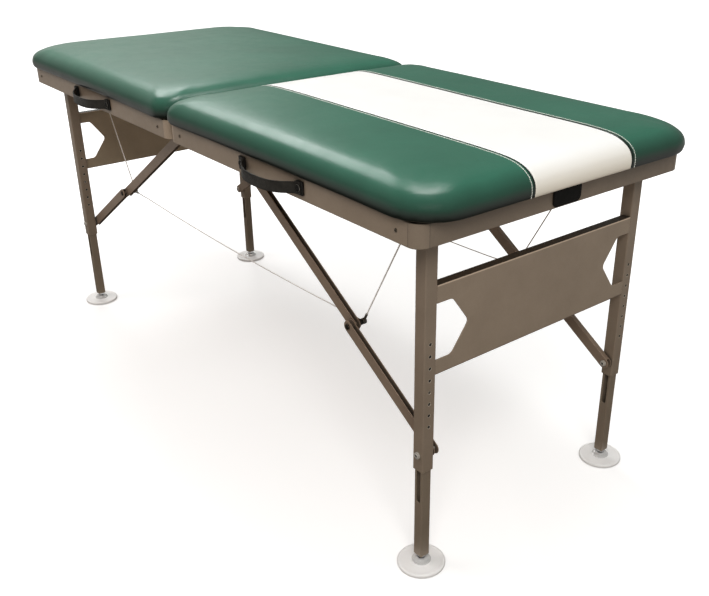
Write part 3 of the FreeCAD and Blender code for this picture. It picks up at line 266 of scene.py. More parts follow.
def powder_coat(name, dark, light, rough=0.42, joints=(), soften=0.0011, shaded_above=None,
                rub=1.75, fades=()):
    """Satin powder coat: rounded edges rubbed lighter with a painted highlight, painted shade in
    hollows, orange peel, fine fleck.

    joints is a list of (axis, place, half width) planes where two painted pieces meet, and
    ledges above the height shaded_above get a painted shadow, with a painted highlight on the
    lip just below. fades lists (axis, start, end, first, last) where the coat's tone
    goes from first to last times its colour, as painted light and shade.
    """
    s = Shader(name)
    tone = s.mix(0.35, s.noise(14.0, 4.0, 0.6), s.noise(420.0, 2.0, 0.5))
    paint = s.ramp(tone, [(0.3, dark), (0.7, light)])
    # rounded edges are painted lighter: partly rubbed paint, partly a painted highlight where light
    # catches the rounding
    rounded = s.node("ShaderNodeBevel", samples=4, Radius=soften).outputs[0]
    true = s.node("ShaderNodeNewGeometry").outputs["Normal"]
    edge = s.span(s.vector("DOT_PRODUCT", rounded, true), 1.0, 0.0, 0.80, 0.985)
    edge = s.times(edge, s.span(s.noise(38.0, 4.0, 0.65), 0.35, 1.0, 0.3, 0.6))
    worn_and_highlit = tuple(min(c * rub + 0.03, 1) for c in light)
    paint = s.mix(s.times(edge, 0.82), paint, worn_and_highlit)
    # painted shade in hollows and under things
    paint = s.mix(s.hollows(0.014, 0.80, 0.30, 0.86), paint, (0.036, 0.029, 0.022))
    spot = s.axes(s.coord)
    # painted light and shade: the coat's tone scaled along an axis
    for axis, start, end, first, last in fades:
        tone = s.span(s.math("ABSOLUTE", spot[axis]), first, last, start, end)
        paint = s.vector("SCALE", paint, tone)
    # a painted shadow on ledges above shaded_above, and a painted highlight on the lip just below
    # it
    if shaded_above is not None:
        upward = s.axes(true)["Z"]
        ledge = s.times(s.span(upward, 0.0, 1.0, 0.5, 0.8),
                        s.span(spot["Z"], 0.0, 1.0, shaded_above - 0.001, shaded_above))
        lip = s.times(s.span(upward, 1.0, 0.0, 0.3, 0.6),
                      s.span(spot["Z"], 0.0, 1.0, shaded_above - 0.0022, shaded_above - 0.0012))
        paint = s.mix(s.times(lip, 0.7), paint, worn_and_highlit)
        paint = s.mix(s.times(ledge, 0.95), paint, (0.022, 0.018, 0.014))
    if joints:
        gap = None
        for axis, place, half in joints:
            away = s.math("SUBTRACT", s.math("ABSOLUTE", spot[axis]), place)
            away = s.math("ABSOLUTE", away)
            line = s.span(away, 1.0, 0.0, half * 0.45, half)
            gap = line if gap is None else s.math("MAXIMUM", gap, line)
        paint = s.mix(s.times(gap, 0.46), paint, (0.03, 0.024, 0.018))
    s.color(paint)
    s.roughness(s.span(s.noise(60.0, 3.0, 0.6), rough - 0.05, rough + 0.07, 0.3, 0.7))
    s.set(Metallic=0.12, Specular_IOR_Level=0.5)
    peel = s.bump(s.noise(520.0, 2.0, 0.5), 0.16, 0.00022, rounded)
    skin = s.bump(s.cells(1500.0), 0.10, 0.0001, peel)
    if joints:
        s.bump(s.times(gap, -1.0), 0.6, 0.0004, skin)
    return s.mat


def bare_metal(name, color, rough, streak=True, metallic=1.0):
    """Bare or plated metal, drawn in fine lines."""
    s = Shader(name)
    lines = s.noise(1.0, 4.0, 0.6, s.stretched((900, 900, 60)))
    dark = tuple(c * 0.86 for c in color)
    s.color(s.ramp(lines, [(0.35, dark), (0.65, color)]))
    s.roughness(s.span(lines, rough * 0.75, rough * 1.3, 0.3, 0.7))
    s.set(Metallic=metallic)
    if streak:
        s.bump(lines, 0.12, 0.0002)
    return s.mat


def moulded(name, dark, light, rough, grain_scale, grain, distance=0.0003, gloss=0.5):
    """Moulded plastic or rubber with a fine matt skin."""
    s = Shader(name)
    s.set(Specular_IOR_Level=gloss)
    s.color(s.ramp(s.noise(40.0, 4.0, 0.6), [(0.3, dark), (0.7, light)]))
    s.roughness(s.span(s.noise(90.0, 3.0, 0.6), rough - 0.05, rough + 0.08, 0.3, 0.7))
    skin = s.bump(s.cells(grain_scale), grain, distance)
    s.bump(s.noise(30.0, 2.0, 0.5), 0.05, 0.001, skin)
    return s.mat


def plywood(name):
    """Plywood with its grain along the table."""
    s = Shader(name)
    grain = s.noise(2.0, 6.0, 0.62, s.stretched((2.2, 34, 34)), 1.4)
    pore = s.noise(1.0, 3.0, 0.6, s.stretched((12, 700, 700)))
    s.color(s.mix(0.3, s.ramp(grain, [(0.28, (0.36, 0.22, 0.11)), (0.5, (0.5, 0.34, 0.19)),
                                      (0.72, (0.62, 0.46, 0.28))]),
                  s.ramp(pore, [(0.35, (0.3, 0.18, 0.09)), (0.6, (0.6, 0.44, 0.27))])))
    s.roughness(s.span(pore, 0.55, 0.75))
    s.bump(pore, 0.25, 0.0003)
    return s.mat


SEAM_FRONT, SEAM_BACK = -0.1215, 0.1480
# dark, light, roughness, gloss, and under: the painted shade the cover turns to lower down
GREEN = ((0.024, 0.126, 0.080), (0.031, 0.154, 0.099), 0.305, 0.46, (0.016, 0.031, 0.023))
green_vinyl = vinyl("green_vinyl", *GREEN)
sewn_vinyl = vinyl("sewn_vinyl", *GREEN, seams=(SEAM_FRONT, SEAM_BACK))
# the ivory cover's under colour is a warm painted shade, and its near-black painted shade at the
# bottom is faint (depth 0.12)
ivory_vinyl = vinyl("ivory_vinyl", (0.905, 0.91, 0.895), (0.93, 0.935, 0.925), 0.36, 0.40,
                    (0.93, 0.87, 0.75), depth=0.12)


PAINT_DARK, PAINT_LIGHT = (0.248, 0.193, 0.142), (0.296, 0.232, 0.172)
RAIL_JOINTS = ((0, 0.856, 0.0008), (0, 0.0265, 0.0008), (1, 0.339, 0.0008))
# end panels: a painted shadow on the flange above shaded_above
PANEL = {"shaded_above": 0.6308, "joints": ((2, 0.4500, 0.0018),)}


def tan_coat(name, rough, tint=(1, 1, 1), light_tint=None, **more):
    """Powder coat in the frame's colour, each of its channels times a tint."""
    dark = tuple(c * t for c, t in zip(PAINT_DARK, tint))
    light = tuple(c * t for c, t in zip(PAINT_LIGHT, light_tint or tint))
    return powder_coat(name, dark, light, rough, **more)


frame_paint = tan_coat("frame_paint", 0.38)
rail_paint = tan_coat("rail_paint", 0.36, soften=0.0015, joints=RAIL_JOINTS)
# castings: painted light near the hinge, painted shade towards the ends
casting_paint = tan_coat("casting_paint", 0.34, soften=0.0015, joints=RAIL_JOINTS,
                         fades=((0, 0.03, 0.8, 1.42, 0.84),))
# end rail: painted shade where the cushion overhangs it
end_rail_paint = tan_coat("end_rail_paint", 0.36, soften=0.0015, joints=RAIL_JOINTS,
                          fades=((0, 0.5, 0.86, 1.0, 0.76),))
leg_paint = tan_coat("leg_paint", 0.36, (0.93, 0.92, 0.92), soften=0.0016, rub=2.2)
inner_paint = tan_coat("inner_paint", 0.34, (0.84, 0.84, 0.83), (0.86, 0.86, 0.85),
                       soften=0.0014, rub=2.1)
brace_paint = tan_coat("brace_paint", 0.36, (0.95, 0.89, 0.88), soften=0.0012, rub=2.4)
# the end panels are lit copies of the coat: painted light, and more of it on the far panel in the
# table's shade
panel_paint = tan_coat("panel_paint", 0.40, (1.10, 1.10, 1.10), rub=2.2, **PANEL)
far_panel_paint = tan_coat("far_panel_paint", 0.40, (1.42, 1.45, 1.38), rub=1.8, **PANEL)
plated_screw = bare_metal("plated_screw", (0.42, 0.40, 0.37), 0.32)
bronze_screw = bare_metal("bronze_screw", (0.27, 0.225, 0.175), 0.36)
crimp_metal = bare_metal("crimp_metal", (0.66, 0.63, 0.58), 0.30)
dull_wire = bare_metal("dull_wire", (0.34, 0.31, 0.27), 0.34)
bright_bolt = bare_metal("bright_bolt", (0.80, 0.75, 0.68), 0.24, metallic=0.55)
dark_bolt = bare_metal("dark_bolt", (0.085, 0.075, 0.066), 0.38)
# near-black painted shade for the bottoms of holes and sockets
recess_shade_black = moulded("recess_shade_black", (0.006, 0.0055, 0.005), (0.012, 0.011, 0.010), 0.6, 900.0,
                       0.2)
button_steel = bare_metal("button_steel", (0.55, 0.54, 0.52), 0.3)
bright_chrome = bare_metal("bright_chrome", (0.78, 0.78, 0.79), 0.12, streak=False)
cap_chrome = bare_metal("cap_chrome", (0.90, 0.895, 0.89), 0.20, streak=False, metallic=0.42)
hinge_paint = powder_coat("hinge_paint", (0.05, 0.047, 0.043), (0.075, 0.07, 0.064), 0.4)
strap_black = moulded("strap_black", (0.012, 0.011, 0.0090), (0.032, 0.029, 0.0245), 0.44,
                      560.0, 0.7, 0.0006, 0.3)
tab_black = moulded("tab_black", (0.0045, 0.0042, 0.0038), (0.0075, 0.007, 0.0063), 0.6, 700.0,
                    0.4, gloss=0.15)
post_black = moulded("post_black", (0.006, 0.0055, 0.0048), (0.012, 0.011, 0.0095), 0.36, 900.0,
                     0.2, gloss=0.3)
nylon = moulded("nylon", (0.94, 0.93, 0.92), (0.965, 0.96, 0.955), 0.40, 1100.0, 0.14)
# hole rims lighter than the coat: partly rubbed paint, partly a painted highlight
rubbed_rim = moulded("rubbed_rim", (0.40, 0.34, 0.27), (0.55, 0.48, 0.39), 0.4, 1500.0, 0.1)
ply = plywood("plywood")
wire_coat = moulded("wire_coat", (0.90, 0.86, 0.82), (0.96, 0.93, 0.90), 0.34, 1500.0, 0.1)
stitch_thread = moulded("stitch_thread", (0.76, 0.78, 0.72), (0.86, 0.88, 0.82), 0.6, 2500.0, 0.4)

BY_SLOT = {
    "frame_paint": frame_paint, "plywood": ply, "zinc_steel": plated_screw,
    "bolt_steel": bright_bolt, "button_steel": button_steel, "hinge_black": hinge_paint,
    "strap_black": strap_black, "wire_rope": wire_coat, "chrome": bright_chrome,
    "cap_chrome": cap_chrome, "foot_nylon": nylon,
    "right_upholstery": green_vinyl, "left_upholstery": green_vinyl,
}
for entry in frame["record"]["subparts"]:
    piece = nodes[entry["node"]]
    finish = BY_SLOT[entry["material_slot"]]
    for ending, paint in (("hinge_rail", rail_paint), ("side_rails", rail_paint),
                          ("end_rail", end_rail_paint),
                          ("corner_connectors", casting_paint), ("outer_legs", leg_paint),
                          ("inner_leg", inner_paint), ("brace_arm", brace_paint),
                          ("end_panel", panel_paint), ("left_end_panel", far_panel_paint)):
        if entry["node"].endswith(ending):
            finish = paint
    for holder in piece.material_slots:
        holder.material = finish


# ---------------------------------------------------------------- mesh helpers
def smoothed(mesh):
    mesh.polygons.foreach_set("use_smooth", [True] * len(mesh.polygons))


def new_object(name, verts, faces, material, smooth=True):
    mesh = bpy.data.meshes.new(name)
    mesh.from_pydata([tuple(v) for v in verts], [], faces)
    mesh.validate()
    mesh.materials.append(material)
    if smooth:
        smoothed(mesh)
    made = bpy.data.objects.new(name, mesh)
    bpy.context.scene.collection.objects.link(made)
    return made


def applied(obj):
    """Replace the object's mesh by what its modifiers make of it."""
    bpy.context.view_layer.update()
    graph = bpy.context.evaluated_depsgraph_get()
    mesh = bpy.data.meshes.new_from_object(obj.evaluated_get(graph))
    old = obj.data
    obj.modifiers.clear()
    obj.data = mesh
    bpy.data.meshes.remove(old)
    return obj


def coords(mesh, what="co"):
    flat = np.zeros(len(mesh.vertices) * 3)
    mesh.vertices.foreach_get(what, flat)
    return flat.reshape(-1, 3)


def set_coords(mesh, array):
    mesh.vertices.foreach_set("co", array.reshape(-1))
    mesh.update()


def soft_noise(points, scale, seed):
    """Smooth, repeatable noise made of a few waves."""
    rng = np.random.default_rng(seed)
    total = np.zeros(len(points))
    for octave in range(7):
        direction = rng.normal(size=3)
        direction /= np.linalg.norm(direction)
        wave = scale * (0.6 + 0.35 * octave)
        total += np.sin(points @ direction * wave + rng.uniform(0, 6.28)) / (1 + 0.5 * octave)
    return total / 3.0


def ringed(rows, count, caps=True):
    """Faces of a closed ring of count points repeated over rows, and its two ends."""
    faces = []
    for i in range(rows - 1):
        for j in range(count):
            k = (j + 1) % count
            faces.append((i * count + j, i * count + k, (i + 1) * count + k, (i + 1) * count + j))
    if caps:
        faces.append(tuple(range(count - 1, -1, -1)))
        faces.append(tuple(range((rows - 1) * count, rows * count)))
    return faces


def flipped(faces):
    return [face[::-1] for face in faces]


def frames_along(points):
    """Tangent, side and normal at each point of a path, with no twist."""
    points = [Vector(p) for p in points]
    tangents = []
    for i in range(len(points)):
        before = points[max(i - 1, 0)]
        after = points[min(i + 1, len(points) - 1)]
        tangents.append((after - before).normalized())
    side = tangents[0].orthogonal().normalized()
    result = []
    for point, tangent in zip(points, tangents):
        side = (side - tangent * side.dot(tangent)).normalized()
        result.append((point, tangent, side, tangent.cross(side)))
    return result


def sweep(points, section, scales=None, twist=0.0, fixed_side=None):
    """Verts and faces of a closed section swept along a path.

    section is a list of (side, normal) offsets; twist is turns per metre.
    """
    verts = []
    distance = 0.0
    steps = frames_along(points)
    for i, (point, tangent, side, normal) in enumerate(steps):
        if fixed_side is not None:
            side = (Vector(fixed_side) - tangent * Vector(fixed_side).dot(tangent)).normalized()
            normal = tangent.cross(side)
        if i:
            distance += (point - steps[i - 1][0]).length
        angle = twist * distance * 2 * math.pi
        c, s = math.cos(angle), math.sin(angle)
        scale = scales[i] if scales else 1.0
        for u, v in section:
            u, v = (u * c - v * s) * scale, (u * s + v * c) * scale
            verts.append(point + side * u + normal * v)
    return verts, ringed(len(steps), len(section))


def join_parts(parts):
    verts, faces = [], []
    for v, f in parts:
        base = len(verts)
        verts += list(v)
        faces += [tuple(i + base for i in face) for face in f]
    return verts, faces


def circle(radius, count):
    return [(radius * math.cos(2 * math.pi * i / count), radius * math.sin(2 * math.pi * i / count))
            for i in range(count)]


def smooth_path(points, per_span=10):
    """A Catmull-Rom line through points."""
    pts = [Vector(p) for p in points]
    pts = [pts[0] * 2 - pts[1]] + pts + [pts[-1] * 2 - pts[-2]]
    line = []
    for i in range(1, len(pts) - 2):
        a, b, c, d = pts[i - 1:i + 3]
        for k in range(per_span):
            t = k / per_span
            line.append(0.5 * ((2 * b) + (c - a) * t + (2 * a - 5 * b + 4 * c - d) * t * t
                               + (3 * b - a - 3 * c + d) * t ** 3))
    line.append(pts[-2].copy())
    return line


def turned(profile, centre, count=32, axis="z"):
    """Verts and faces of a profile of (radius, height) turned about an axis."""
    verts = []
    for radius, height in profile:
        for j in range(count):
            a = 2 * math.pi * j / count
            u, v = radius * math.cos(a), radius * math.sin(a)
            offset = {"z": (u, v, height), "y": (u, height, v), "x": (height, u, v)}[axis]
            verts.append(Vector(centre) + Vector(offset))
    faces = ringed(len(profile), count, caps=False)
    return verts, flipped(faces) if axis == "y" else faces


# ---------------------------------------------------------------- cushions
OUTER_RADIUS, HINGE_RADIUS = 90.0, 47.0
CORNER_STEPS, SIDE_STEPS = 12, 22
PAD_LEVELS = [  # (inset, height) in millimetres, from the tucked-under edge to the crown
    (26, 0.0), (14, 0.0), (7.5, 0.8), (3.6, 3.2), (1.4, 7.5), (0.4, 14), (0.0, 22), (0.9, 30),
    (3.6, 38), (8.6, 45.5), (16, 52), (26, 57), (40, 60.2), (60, 61.8), (90, 62.8), (140, 63.6),
    (200, 64.0), (270, 64.2),
]


def pad_ring(x0, x1, y1, inset, z):
    """One level of a pad in millimetres: round corners, sides drawn in between them."""
    x0, x1, y1 = x0 + inset, x1 - inset, y1 - inset
    corners = [(x1, y1, 1, 1, OUTER_RADIUS), (x0, y1, -1, 1, HINGE_RADIUS),
               (x0, -y1, -1, -1, HINGE_RADIUS), (x1, -y1, 1, -1, OUTER_RADIUS)]
    waist = [(0, -2.6), (1.0, 0), (0, 2.6), (-1.8, 0)]

    def on_corner(i, degrees):
        cx, cy, sx, sy, radius = corners[i % 4]
        a = math.radians(degrees)
        return Vector((cx - sx * radius, cy - sy * radius, z)) + Vector(
            (math.cos(a), math.sin(a), 0)) * radius

    ring = []
    for i, pull in enumerate(waist):
        ring += [on_corner(i, 90 * i + 90 * k / CORNER_STEPS) for k in range(CORNER_STEPS + 1)]
        begin, following = ring[-1], on_corner(i + 1, 90 * ((i + 1) % 4))
        for k in range(1, SIDE_STEPS):
            t = k / SIDE_STEPS
            ring.append(begin.lerp(following, t)
                        + Vector((*pull, 0)) * (1 - (2 * t - 1) ** 2))
    return ring


def build_pad(name, x_sign):
    """A closed foam pad in its vinyl cover, swollen by simulation and trimmed to size."""
    low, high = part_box("right_cushion")
    gap_to_hinge = 0.8
    room_to_swell = 3.0
    flat_share = 62.0 / 64.2
    verts = []
    for inset, height in PAD_LEVELS:
        ring = pad_ring(gap_to_hinge, high.x / MM, high.y / MM, inset + room_to_swell,
                        low.z / MM + height * flat_share)
        verts += [Vector((x_sign * p.x, p.y, p.z)) * MM for p in ring]
    faces = ringed(len(PAD_LEVELS), len(ring))
    pad = new_object(name, verts, flipped(faces) if x_sign < 0 else faces, green_vinyl)

    remesh = pad.modifiers.new("remesh", "REMESH")
    remesh.mode = "VOXEL"
    remesh.voxel_size = 0.0078
    relax = pad.modifiers.new("relax", "SMOOTH")
    relax.factor = 0.5
    relax.iterations = 6
    applied(pad)
    rest = coords(pad.data)
    move = swell_cover(pad, low.z + 0.004) - rest
    size = np.linalg.norm(move, axis=1, keepdims=True)
    most = 0.0065
    move = np.where(size > 1e-9, move * most * np.tanh(size / most) / np.maximum(size, 1e-9), 0)
    # the foam holds the cover taut, so only a trace of its small folds stays
    even = evened(pad.data, move, 70)
    set_coords(pad.data, rest + even + 0.14 * (move - even))
    pad.modifiers.new("refine", "SUBSURF").levels = 1
    applied(pad)

    # trim the swollen pad back to its own size
    points = coords(pad.data)
    lo, hi = points.min(0), points.max(0)
    want_lo = np.array([(0.0007 if x_sign > 0 else -high.x), low.y, low.z])
    want_hi = np.array([(high.x if x_sign > 0 else -0.0007), high.y, high.z + 0.0005])
    points = want_lo + (points - lo) / (hi - lo) * (want_hi - want_lo)
    pad.data.update()
    normals = coords(pad.data, "normal")

    # foam never lies quite even: slow waves over the top, faint pulls towards the edges
    height = (points[:, 2] - want_lo[2]) / (want_hi[2] - want_lo[2])
    top = np.clip((height - 0.6) / 0.4, 0, 1)
    waves = soft_noise(points * [1, 1, 0], 9.0, 5 if x_sign > 0 else 8) * 0.0009
    pulls = soft_noise(points * [1, 1, 0.2], 42.0, 11 if x_sign > 0 else 13) * 0.00022
    lift = waves * top + pulls * (0.3 + 0.7 * top)

    # the cover is drawn into faint pleats where it turns under the corners
    for cx, radius in ((high.x - 0.092, 0.092), (0.048, 0.048)):
        for cy in (high.y - radius, low.y + radius):
            dx = np.abs(points[:, 0]) - cx
            dy = points[:, 1] - cy
            outward = ((dx * (1 if cx > 0.1 else -1) > -0.004)
                       & (dy * (1 if cy > 0 else -1) > -0.004))
            angle = np.arctan2(np.abs(dy), np.abs(dx))
            band = np.exp(-((height - 0.07) / 0.13) ** 2)
            fold = np.sin(angle * 19 + 1.7 * np.sin(angle * 3.3 + cx * 9))
            fold = fold * np.clip(np.sin(2 * angle), 0, 1)
            lift += np.where(outward, fold * band * 0.00042, 0)
    above_seat = np.clip(height / 0.05, 0, 1)
    points = points + normals * (lift * above_seat)[:, None]
    points[:, 2] = np.maximum(points[:, 2], want_lo[2])
    set_coords(pad.data, points)
    smoothed(pad.data)
    return pad


def evened(mesh, field, rounds):
    """Average a vector field over each vertex's neighbours, rounds times."""
    ends = np.zeros(len(mesh.edges) * 2, dtype=np.int32)
    mesh.edges.foreach_get("vertices", ends)
    a, b = ends.reshape(-1, 2).T
    count = len(field)
    degree = np.bincount(a, minlength=count) + np.bincount(b, minlength=count)
    for _ in range(rounds):
        near = np.stack([np.bincount(a, weights=field[b, i], minlength=count)
                         + np.bincount(b, weights=field[a, i], minlength=count)
                         for i in range(3)], 1)
        field = 0.5 * field + 0.5 * near / np.maximum(degree, 1)[:, None]
    return field


def swell_cover(pad, pin_below):
    """Blow the cover up with cloth pressure and return where its points went."""
    blown = pad.copy()
    blown.data = pad.data.copy()
    bpy.context.scene.collection.objects.link(blown)
    rest = coords(blown.data)
    pins = blown.vertex_groups.new(name="pins")
    pins.add([int(i) for i in np.nonzero(rest[:, 2] < pin_below)[0]], 1.0, "REPLACE")
    cloth = blown.modifiers.new("cloth", "CLOTH")
    settings = cloth.settings
    for key, value in (("quality", 5), ("mass", 0.35), ("tension_stiffness", 22),
                       ("compression_stiffness", 22), ("shear_stiffness", 12),
                       ("bending_stiffness", 3.0), ("tension_damping", 8), ("air_damping", 2),
                       ("use_pressure", True), ("uniform_pressure_force", 4.0),
                       ("vertex_group_mass", "pins")):
        setattr(settings, key, value)
    settings.effector_weights.gravity = 0
    cloth.collision_settings.use_collision = False
    cloth.point_cache.frame_start = 1
    cloth.point_cache.frame_end = 20
    scene = bpy.context.scene
    for number in range(1, 19):
        scene.frame_set(number)
        bpy.context.view_layer.update()
    graph = bpy.context.evaluated_depsgraph_get()
    mesh = bpy.data.meshes.new_from_object(blown.evaluated_get(graph))
    result = coords(mesh)
    bpy.data.meshes.remove(mesh)
    scene.frame_set(1)
    bpy.data.objects.remove(blown)
    return result


STITCH_AWAY = 10.2 * MM
LOOPS_BESIDE_SEAM = (0.4, 1.0, 2.0, 3.4, 5.4, 7.4, 9.0, 10.2, 11.4, 12.8, 15.2)


def slice_near(bm, middle, reach, y, dist):
    """Cut the faces around middle with the plane at y, and return what lies in the cut."""
    near = [f for f in bm.faces if abs(f.calc_center_median().y - middle) < reach]
    geom = set(near)
    for f in near:
        geom.update(f.edges)
        geom.update(f.verts)
    return bmesh.ops.bisect_plane(bm, geom=list(geom), dist=dist, plane_co=(0, y, 0),
                                  plane_no=(0, 1, 0))["geom_cut"]


def cut_seams(pad, seams):
    """Add edge loops beside each seam plane, press the seam and its topstitching in."""
    bm = bmesh.new()
    bm.from_mesh(pad.data)
    offsets = [-away for away in reversed(LOOPS_BESIDE_SEAM)] + [0, *LOOPS_BESIDE_SEAM]
    for seam in seams:
        for offset in offsets:
            slice_near(bm, seam, 0.03, seam + offset * MM, 1e-6)
    bm.normal_update()

    def bell(away, middle, width):
        return math.exp(-((away - middle) / width) ** 2)

    for vert in bm.verts:
        for seam in seams:
            away = abs(vert.co.y - seam) / MM
            if away < 16 and vert.normal.z > -0.35:
                dip = -1.0 * bell(away, 0, 1.1) + 0.25 * bell(away, 4.2, 2.0)
                if not seams[0] < vert.co.y < seams[1]:
                    dip -= 0.55 * bell(away, STITCH_AWAY / MM, 1.3)
                    dip += 0.2 * bell(away, 13.2, 1.6)
                vert.co += vert.normal * dip * MM
    for face in bm.faces:
        y = face.calc_center_median().y
        face.material_index = 1 if seams[0] < y < seams[1] else 0
        face.smooth = True
    bm.to_mesh(pad.data)
    bm.free()
    pad.data.update()


def section_line(pad, y):
    """The pad's outline in the plane at y, from under its hinge side over the top."""
    bm = bmesh.new()
    bm.from_mesh(pad.data)
    cut = slice_near(bm, y, 0.02, y, 1e-7)
    bm.normal_update()
    places, neighbours = {}, {}
    for e in cut:
        if isinstance(e, bmesh.types.BMEdge):
            a, b = e.verts
            for v in (a, b):
                places[id(v)] = (v.co.copy(), v.normal.copy())
            neighbours.setdefault(id(a), []).append(id(b))
            neighbours.setdefault(id(b), []).append(id(a))
    under_pad = 0.782
    start = min((k for k in places if places[k][0].z < under_pad),
                key=lambda k: abs(places[k][0].x))
    order = [start]
    current = max(neighbours[start], key=lambda k: places[k][0].z)
    while current is not None:
        order.append(current)
        current = next((k for k in neighbours[current] if k not in order), None)
    line = [places[k] for k in order]
    bm.free()
    return line


def resample(line, step):
    """Evenly spaced (place, normal, tangent) along a line of (place, normal)."""
    lengths = [0.0]
    for i in range(1, len(line)):
        lengths.append(lengths[-1] + (line[i][0] - line[i - 1][0]).length)
    spots = []
    distance, i = 0.0, 1
    while distance < lengths[-1]:
        while lengths[i] < distance:
            i += 1
        span = max(lengths[i] - lengths[i - 1], 1e-9)
        t = (distance - lengths[i - 1]) / span
        place = line[i - 1][0].lerp(line[i][0], t)
        normal = line[i - 1][1].lerp(line[i][1], t).normalized()
        tangent = (line[i][0] - line[i - 1][0]).normalized()
        spots.append((place, normal, tangent))
        distance += step
    return spots


def stitches(name, pad, rows):
    """Rows of topstitching lying on the cover."""
    pitch, length, radius = 4.6, 4.5, 0.75
    lowest = 0.7795
    # share of the length, share of the radius, rise in radii
    shape = ((-0.5, 0.45, -0.2), (-0.34, 0.95, 0.35), (0.0, 1.1, 0.55), (0.34, 0.95, 0.35),
             (0.5, 0.45, -0.2))
    sides = 6
    parts = []
    for y in rows:
        for place, normal, tangent in resample(section_line(pad, y), pitch * MM):
            if place.z < lowest or normal.z < -0.55:
                continue
            side = tangent.cross(normal).normalized()
            verts = []
            for along, swell, rise in shape:
                middle = place + tangent * along * length * MM + normal * rise * radius * MM
                for u, w in circle(1.0, sides):
                    verts.append(middle + (side * u + normal * w) * radius * swell * MM)
            parts.append((verts, ringed(len(shape), sides)))
    return new_object(name, *join_parts(parts), stitch_thread)


right_pad = build_pad("right_pad", 1)
left_pad = build_pad("left_pad", -1)
right_pad.data.materials.clear()
for cover in (sewn_vinyl, ivory_vinyl):
    right_pad.data.materials.append(cover)
cut_seams(right_pad, (SEAM_FRONT, SEAM_BACK))
seam_stitches = stitches("stripe_stitches", right_pad, (SEAM_FRONT - STITCH_AWAY,
                                                        SEAM_BACK + STITCH_AWAY))
for pad, side in ((right_pad, "right"), (left_pad, "left")):
    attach(pad, side + "_deck")
    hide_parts(side + "_cushion")
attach(seam_stitches, "right_deck")


# ---------------------------------------------------------------- carry handles
def millimetres(profile):
    return [(u * MM, v * MM) for u, v in profile]


def strap_section(width, thick):
    """Flat strap with rounded edges, a raised border and a slightly hollow middle."""
    half, r = width / 2, thick / 2

    def edge(sign):
        turns = [sign * (-math.pi / 2 + math.pi * k / 5) for k in range(6)]
        return [(sign * (half - r + r * math.cos(a)), r * math.sin(a)) for a in turns]

    points = edge(1) + [(half - 2.6, r * 0.92), (half - 3.6, r * 0.62), (0, r * 0.55),
                        (-half + 3.6, r * 0.62), (-half + 2.6, r * 0.92)]
    points += edge(-1) + [(-half + 3, -r), (0, -r), (half - 3, -r)]
    return millimetres(points)


def build_handle(side):
    """A bowed strap whose flat ends lie on two plates, under round covers."""
    low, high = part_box(side + "_carry_handle")
    cx = (low.x + high.x) / 2
    z = (low.z + high.z) / 2
    face = high.y
    half = (high.x - low.x) / 2 - 7.5 * MM
    # share of the half span, distance out from the rail, drop
    stops = [(0.0, 37.6, -4.4), (0.4, 34.6, -3.6), (0.66, 25.0, -2.2), (0.84, 13.0, -0.8),
             (0.93, 7.2, -0.2), (0.985, 5.8, 0.0)]
    stops = [(-t, out, drop) for t, out, drop in stops[:0:-1]] + stops
    path = smooth_path([(cx + t * half, face - out * MM, z + drop * MM)
                        for t, out, drop in stops], 8)
    straps = [sweep(path, strap_section(24.0, 3.6), fixed_side=(0, 0, 1))]
    cover = millimetres([(7.3, 0.0), (7.3, -0.7), (6.9, -1.3), (6.2, -1.45), (6.0, -1.2),
                         (5.6, -1.3), (4.9, -2.2), (3.4, -2.9), (2.3, -3.05), (2.1, -2.3),
                         (0.001, -2.2)])
    ring = millimetres([(7.75, 0.2), (7.75, -0.55), (7.5, -0.95), (7.05, -1.1), (6.6, -0.95),
                        (6.5, -0.4)])
    plates, rings = [], []
    for end in (-1, 1):
        ex = cx + end * half
        tail = [(ex + end * along * MM, face - out * MM, z)
                for along, out in ((-11, 6.2), (-3, 5.6), (3.5, 5.4), (6.6, 5.4))]
        straps.append(sweep(smooth_path(tail, 3), strap_section(26.5, 2.8), fixed_side=(0, 0, 1)))
        plates.append(rounded_plate((ex + end * 1.0 * MM, face, z), 22.0, 27.6, 4.2, 2.6,
                                    lift=0.05, bevel=0.8))
        on_strap = (ex, face - 6.6 * MM, z)
        plates.append(turned(cover, on_strap, 32, "y"))
        rings.append(turned(ring, on_strap, 32, "y"))
    strap = new_object(side + "_strap", *join_parts(straps), strap_black)
    strap.modifiers.new("round", "SUBSURF").levels = 1
    applied(strap)
    smoothed(strap.data)
    plate = new_object(side + "_strap_plates", *join_parts(plates), post_black)
    screw = new_object(side + "_strap_rings", *join_parts(rings), plated_screw)
    for piece in (strap, plate, screw):
        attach(piece, side + "_deck")
    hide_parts(side + "_carry_handle")


def rounded_plate(centre, width, height, thick, corner, lift, bevel):
    """A plate in the XZ plane with round corners and a bevelled face towards -Y."""
    def outline(inset):
        pts = []
        r = max(corner - inset, 0.3)
        for sx, sz, start in ((1, 1, 0), (-1, 1, 90), (-1, -1, 180), (1, -1, 270)):
            for k in range(6):
                a = math.radians(start + 18 * k)
                pts.append((sx * (width / 2 - inset - r) + r * math.cos(a),
                            sz * (height / 2 - inset - r) + r * math.sin(a)))
        return pts

    rings = [(0, -lift), (0, thick - bevel), (bevel * 0.3, thick - bevel * 0.3), (bevel, thick)]
    verts = []
    for inset, depth in rings:
        for u, w in outline(inset):
            verts.append(Vector(centre) + Vector((u, -depth, w)) * MM)
    return verts, flipped(ringed(len(rings), len(verts) // len(rings)))


build_handle("right")
build_handle("left")


# ---------------------------------------------------------------- wire stays
def rope_section(radius, lobes=6):
    """Round wire rope: strands show as lobes."""
    points = []
    for i in range(lobes * 3):
        a = 2 * math.pi * i / (lobes * 3)
        points.append((radius * (0.9 + 0.1 * math.cos(lobes * a)) * math.cos(a),
                       radius * (0.9 + 0.1 * math.cos(lobes * a)) * math.sin(a)))
    return points


